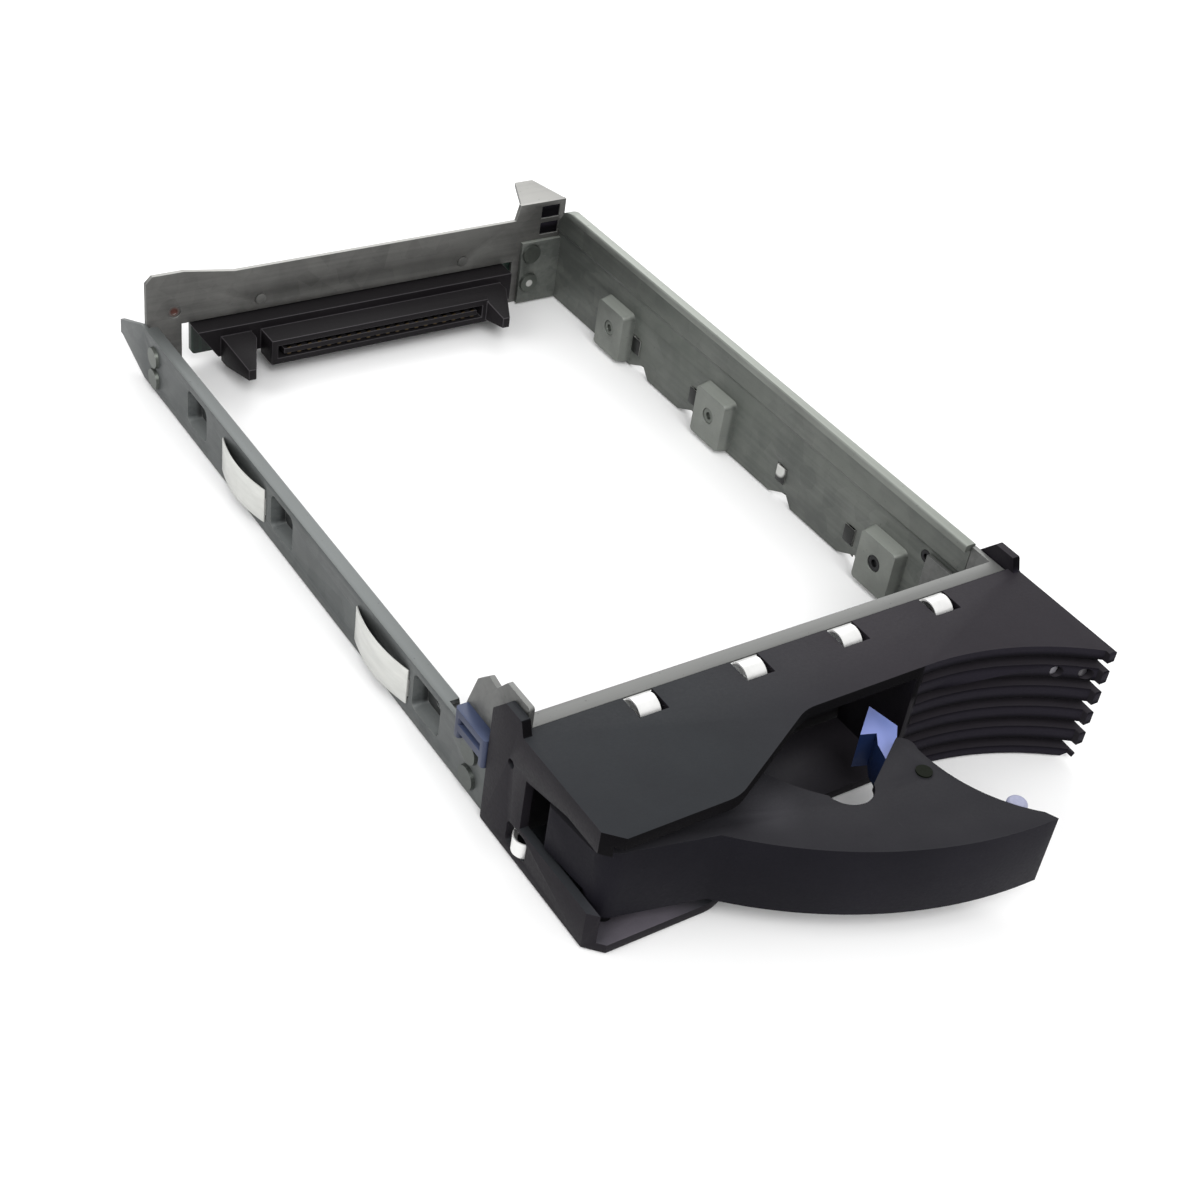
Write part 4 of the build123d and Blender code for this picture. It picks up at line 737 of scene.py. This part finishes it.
# Coil spring of the catch: a round wire wound round the pin, with one straight leg
COIL_PLACE_MM = (6.4, -4.5, 8.05)
WIRE_RADIUS_MM = 0.25
WIRE_SIDES = 10
COIL_RADIUS_MM = 1.62
COIL_TURNS = 2.25
COIL_STEPS_A_TURN = 28
COIL_PITCH_MM = 0.48
COIL_LEG_MM = 4.4
COIL_SMOOTH_DEG = 40.0
deselect_all()
bpy.ops.mesh.primitive_circle_add(vertices=WIRE_SIDES, radius=WIRE_RADIUS_MM * MM,
                                  location=(COIL_RADIUS_MM * MM, 0, 0), rotation=(QUARTER_TURN, 0, 0))
coil = new_primitive()
wind = coil.modifiers.new("wind", "SCREW")
wind.angle = math.radians(360.0 * COIL_TURNS)
wind.screw_offset = COIL_PITCH_MM * COIL_TURNS * MM
wind.steps = int(COIL_STEPS_A_TURN * COIL_TURNS)
wind.render_steps = wind.steps
bpy.ops.object.modifier_apply(modifier=wind.name)
bpy.ops.object.mode_set(mode="EDIT")
bpy.ops.mesh.select_mode(type="EDGE")
bpy.ops.mesh.select_all(action="DESELECT")
bpy.ops.mesh.select_non_manifold()
bpy.ops.mesh.fill_holes(sides=0)
bpy.ops.mesh.select_all(action="SELECT")
bpy.ops.mesh.normals_make_consistent(inside=False)
close_mesh()
upper_cap = max((face for face in coil.data.polygons if len(face.vertices) == WIRE_SIDES),
                key=lambda face: face.center.z)
cap_index = upper_cap.index
leg_move = upper_cap.normal * (COIL_LEG_MM * MM)
select_faces(coil, lambda face: face.index == cap_index)
bpy.ops.mesh.extrude_region_move(TRANSFORM_OT_translate={"value": leg_move})
close_mesh()
bpy.ops.object.shade_smooth_by_angle(angle=math.radians(COIL_SMOOTH_DEG))
coil.location = Vector(COIL_PLACE_MM) * MM
add_piece(coil, "catch_coil_spring", "pin_steel", "handle", "latch_spring")

# Short screws kept in the right rail's pads, and a dark rivet in the rail's front hole; the front screw and the rivet
# are near black as painted shade in their holes
STUD_SIDES = 24
STUD_ROUND_MM = 0.15
SOCKET_DEPTH_SHARE = 0.6
PAD_SCREW_MM = {"radius_mm": 1.82, "length_mm": 1.3, "socket_mm": 0.85}
PAD_SCREW_X_MM = 51.75
PAD_SCREW_Z_MM = 7.35
PAD_SCREWS = ((58.4, "dark_pin"), (118.4, "pad_screw"), (160.0, "pad_screw"))
RAIL_RIVET_MM = {"radius_mm": 1.46, "length_mm": 1.1, "socket_mm": 0.6}
RAIL_RIVET_PLACE_MM = (54.5, 48.0, 15.6)


def socket_stud(radius_mm, length_mm, socket_mm):
    """A stud along X whose left end has a rounded rim and a socket."""
    deselect_all()
    bpy.ops.mesh.primitive_cylinder_add(vertices=STUD_SIDES, radius=radius_mm * MM, depth=length_mm * MM,
                                        rotation=(0, QUARTER_TURN, 0))
    stud = new_primitive()
    sunk_socket(stud, lambda face: face.normal.x < -TURNED_TO, radius_mm - socket_mm,
                (length_mm * SOCKET_DEPTH_SHARE, 0, 0))
    bevelled(stud, STUD_ROUND_MM)
    return stud


first_screw = socket_stud(**PAD_SCREW_MM)
screws = [first_screw] + [copied(first_screw) for _ in PAD_SCREWS[1:]]
for number, (screw, (y_mm, coat)) in enumerate(zip(screws, PAD_SCREWS), start=1):
    screw.location = Vector((PAD_SCREW_X_MM, y_mm, PAD_SCREW_Z_MM)) * MM
    add_piece(screw, "right_pad_screw_%d" % number, coat)
rail_rivet = socket_stud(**RAIL_RIVET_MM)
rail_rivet.location = Vector(RAIL_RIVET_PLACE_MM) * MM
add_piece(rail_rivet, "right_rail_rivet", "dark_pin")

# Plug of the rear panel's hole, dished and rusted in its middle
PLUG_SIDES = 28
PLUG_RADIUS_MM = 1.48
PLUG_DEPTH_MM = 0.8
PLUG_RIM_MM = 0.8
PLUG_DISH_MM = 0.2
PLUG_ROUND_MM = 0.12
PLUG_PLACE_MM = (-47.4, 190.55, 14.9)
deselect_all()
bpy.ops.mesh.primitive_cylinder_add(vertices=PLUG_SIDES, radius=PLUG_RADIUS_MM * MM, depth=PLUG_DEPTH_MM * MM,
                                    rotation=(QUARTER_TURN, 0, 0))
plug = new_primitive()
sunk_socket(plug, lambda face: face.normal.y < -TURNED_TO, PLUG_RIM_MM, (0, PLUG_DISH_MM, 0))
bevelled(plug, PLUG_ROUND_MM)
plug.location = Vector(PLUG_PLACE_MM) * MM
add_piece(plug, "rear_panel_plug", "cross_steel")

# Small parts soldered to the board's outer face, each modelled standing on the plane Y = 0.
# A block has its centre's distance from the board, its size and the round of its edges.
BOARD_FACE_MM = 192.6
CHIP_CENTRE_MM = 0.62
CHIP_THICK_MM = 1.1
CHIP_ROUND_MM = 0.12
CHIP_DISH_MM = 0.08
CHIP_RIM_MM = 0.35
CHIP_FACE_M2 = 1e-6
CHIP_LEG = {"centre_mm": 0.32, "size_mm": (0.32, 0.5, 0.9), "round_mm": 0.08}
LEG_INSET_MM = 0.8
LEG_OUT_MM = 0.3
CHIP_Z_MM = 15.9
CHIPS = (
    {"x_mm": -9.0, "width_mm": 6.4, "height_mm": 3.6, "leg_count": 8},
    {"x_mm": 8.5, "width_mm": 4.2, "height_mm": 3.0, "leg_count": 5},
)
CAPACITOR_BODY = {"centre_mm": 0.36, "size_mm": (1.1, 0.66, 0.8), "round_mm": 0.06}
CAPACITOR_CAP = {"centre_mm": 0.38, "size_mm": (0.42, 0.74, 0.9), "round_mm": 0.09}
CAP_OUT_MM = 0.75
CAPACITOR_PLACES_MM = (
    (-19.5, 17.6), (-16.5, 17.6), (-19.5, 15.2), (-0.6, 17.4), (-0.6, 15.0), (14.6, 17.5),
    (17.6, 17.5), (14.6, 14.9), (33.0, 12.0), (36.0, 12.0), (-34.5, 9.0), (-34.5, 6.4),
)


def board_chip(width_mm, height_mm, leg_count):
    """A flat chip with a dished top and a row of legs above and below."""
    body = small_block("chip_body", CHIP_CENTRE_MM, (width_mm, CHIP_THICK_MM, height_mm), CHIP_ROUND_MM)
    sunk_socket(body, lambda face: face.normal.y > TURNED_TO and face.area > CHIP_FACE_M2, CHIP_RIM_MM,
                (0, -CHIP_DISH_MM, 0))
    first_leg = small_block("solder", **CHIP_LEG)
    pitch_mm = (width_mm - LEG_INSET_MM) / (leg_count - 1)
    legs = []
    for row in (-1, 1):
        for index in range(leg_count):
            leg = copied(first_leg)
            shifted(leg, ((index - (leg_count - 1) / 2) * pitch_mm, 0, row * (height_mm / 2 + LEG_OUT_MM)))
            legs.append(leg)
    bpy.data.objects.remove(first_leg)
    return joined([body] + legs)


def board_capacitor():
    """A small ceramic capacitor with a soldered cap at each end."""
    body = small_block("capacitor_body", **CAPACITOR_BODY)
    caps = [small_block("solder", x_mm=side * CAP_OUT_MM, **CAPACITOR_CAP) for side in (-1, 1)]
    return joined([body] + caps)


for number, sizes in enumerate(CHIPS, start=1):
    chip = board_chip(sizes["width_mm"], sizes["height_mm"], sizes["leg_count"])
    shifted(chip, (sizes["x_mm"], BOARD_FACE_MM, CHIP_Z_MM))
    add_piece(chip, "board_chip_%d" % number, None)
first_capacitor = board_capacitor()
capacitors = [first_capacitor] + [copied(first_capacitor) for _ in CAPACITOR_PLACES_MM[1:]]
for number, (capacitor, (x_mm, z_mm)) in enumerate(zip(capacitors, CAPACITOR_PLACES_MM), start=1):
    shifted(capacitor, (x_mm, BOARD_FACE_MM, z_mm))
    add_piece(capacitor, "board_capacitor_%d" % number, None)

# Floor
deselect_all()
bpy.ops.mesh.primitive_plane_add(size=FLOOR_SIZE, location=(0, 0, 0))
floor = bpy.context.object
floor.name = "studio_floor"
floor.data.transform(Matrix.Translation((0, 0, -FLOOR_DROP)))
paint(floor, Finish("studio_floor").finished(Base_Color=FLOOR_COLOUR, Roughness=FLOOR_ROUGHNESS))


def area_light(name, place, size, power):
    """Soft square light aimed at the tray."""
    data = bpy.data.lights.new(name, "AREA")
    data.shape = "SQUARE"
    data.size = size
    data.energy = power
    light = bpy.data.objects.new(name, data)
    bpy.context.scene.collection.objects.link(light)
    light.location = place
    light.rotation_euler = (Vector(LIGHT_AIM) - Vector(place)).to_track_quat("-Z", "Y").to_euler()


for name, setting in LIGHTS.items():
    area_light(name, **setting)

air = bpy.data.worlds.new("studio_air")
bpy.context.scene.world = air
air.use_nodes = True
air_light = air.node_tree.nodes["Background"].inputs
air_light["Color"].default_value = (*AIR_COLOUR, 1.0)
air_light["Strength"].default_value = AIR_STRENGTH

camera_data = bpy.data.cameras.new("photo_camera")
camera_data.lens = CAMERA_LENS_MM
camera_data.sensor_width = SENSOR_MM
camera_data.clip_start = CLIP_START
camera = bpy.data.objects.new("photo_camera", camera_data)
bpy.context.scene.collection.objects.link(camera)
camera.location = Vector(EYE_MM) * MM
camera.rotation_euler = [math.radians(turn) for turn in CAMERA_TURN_DEG]
bpy.context.scene.camera = camera
bpy.context.scene.view_settings.view_transform = "Standard"
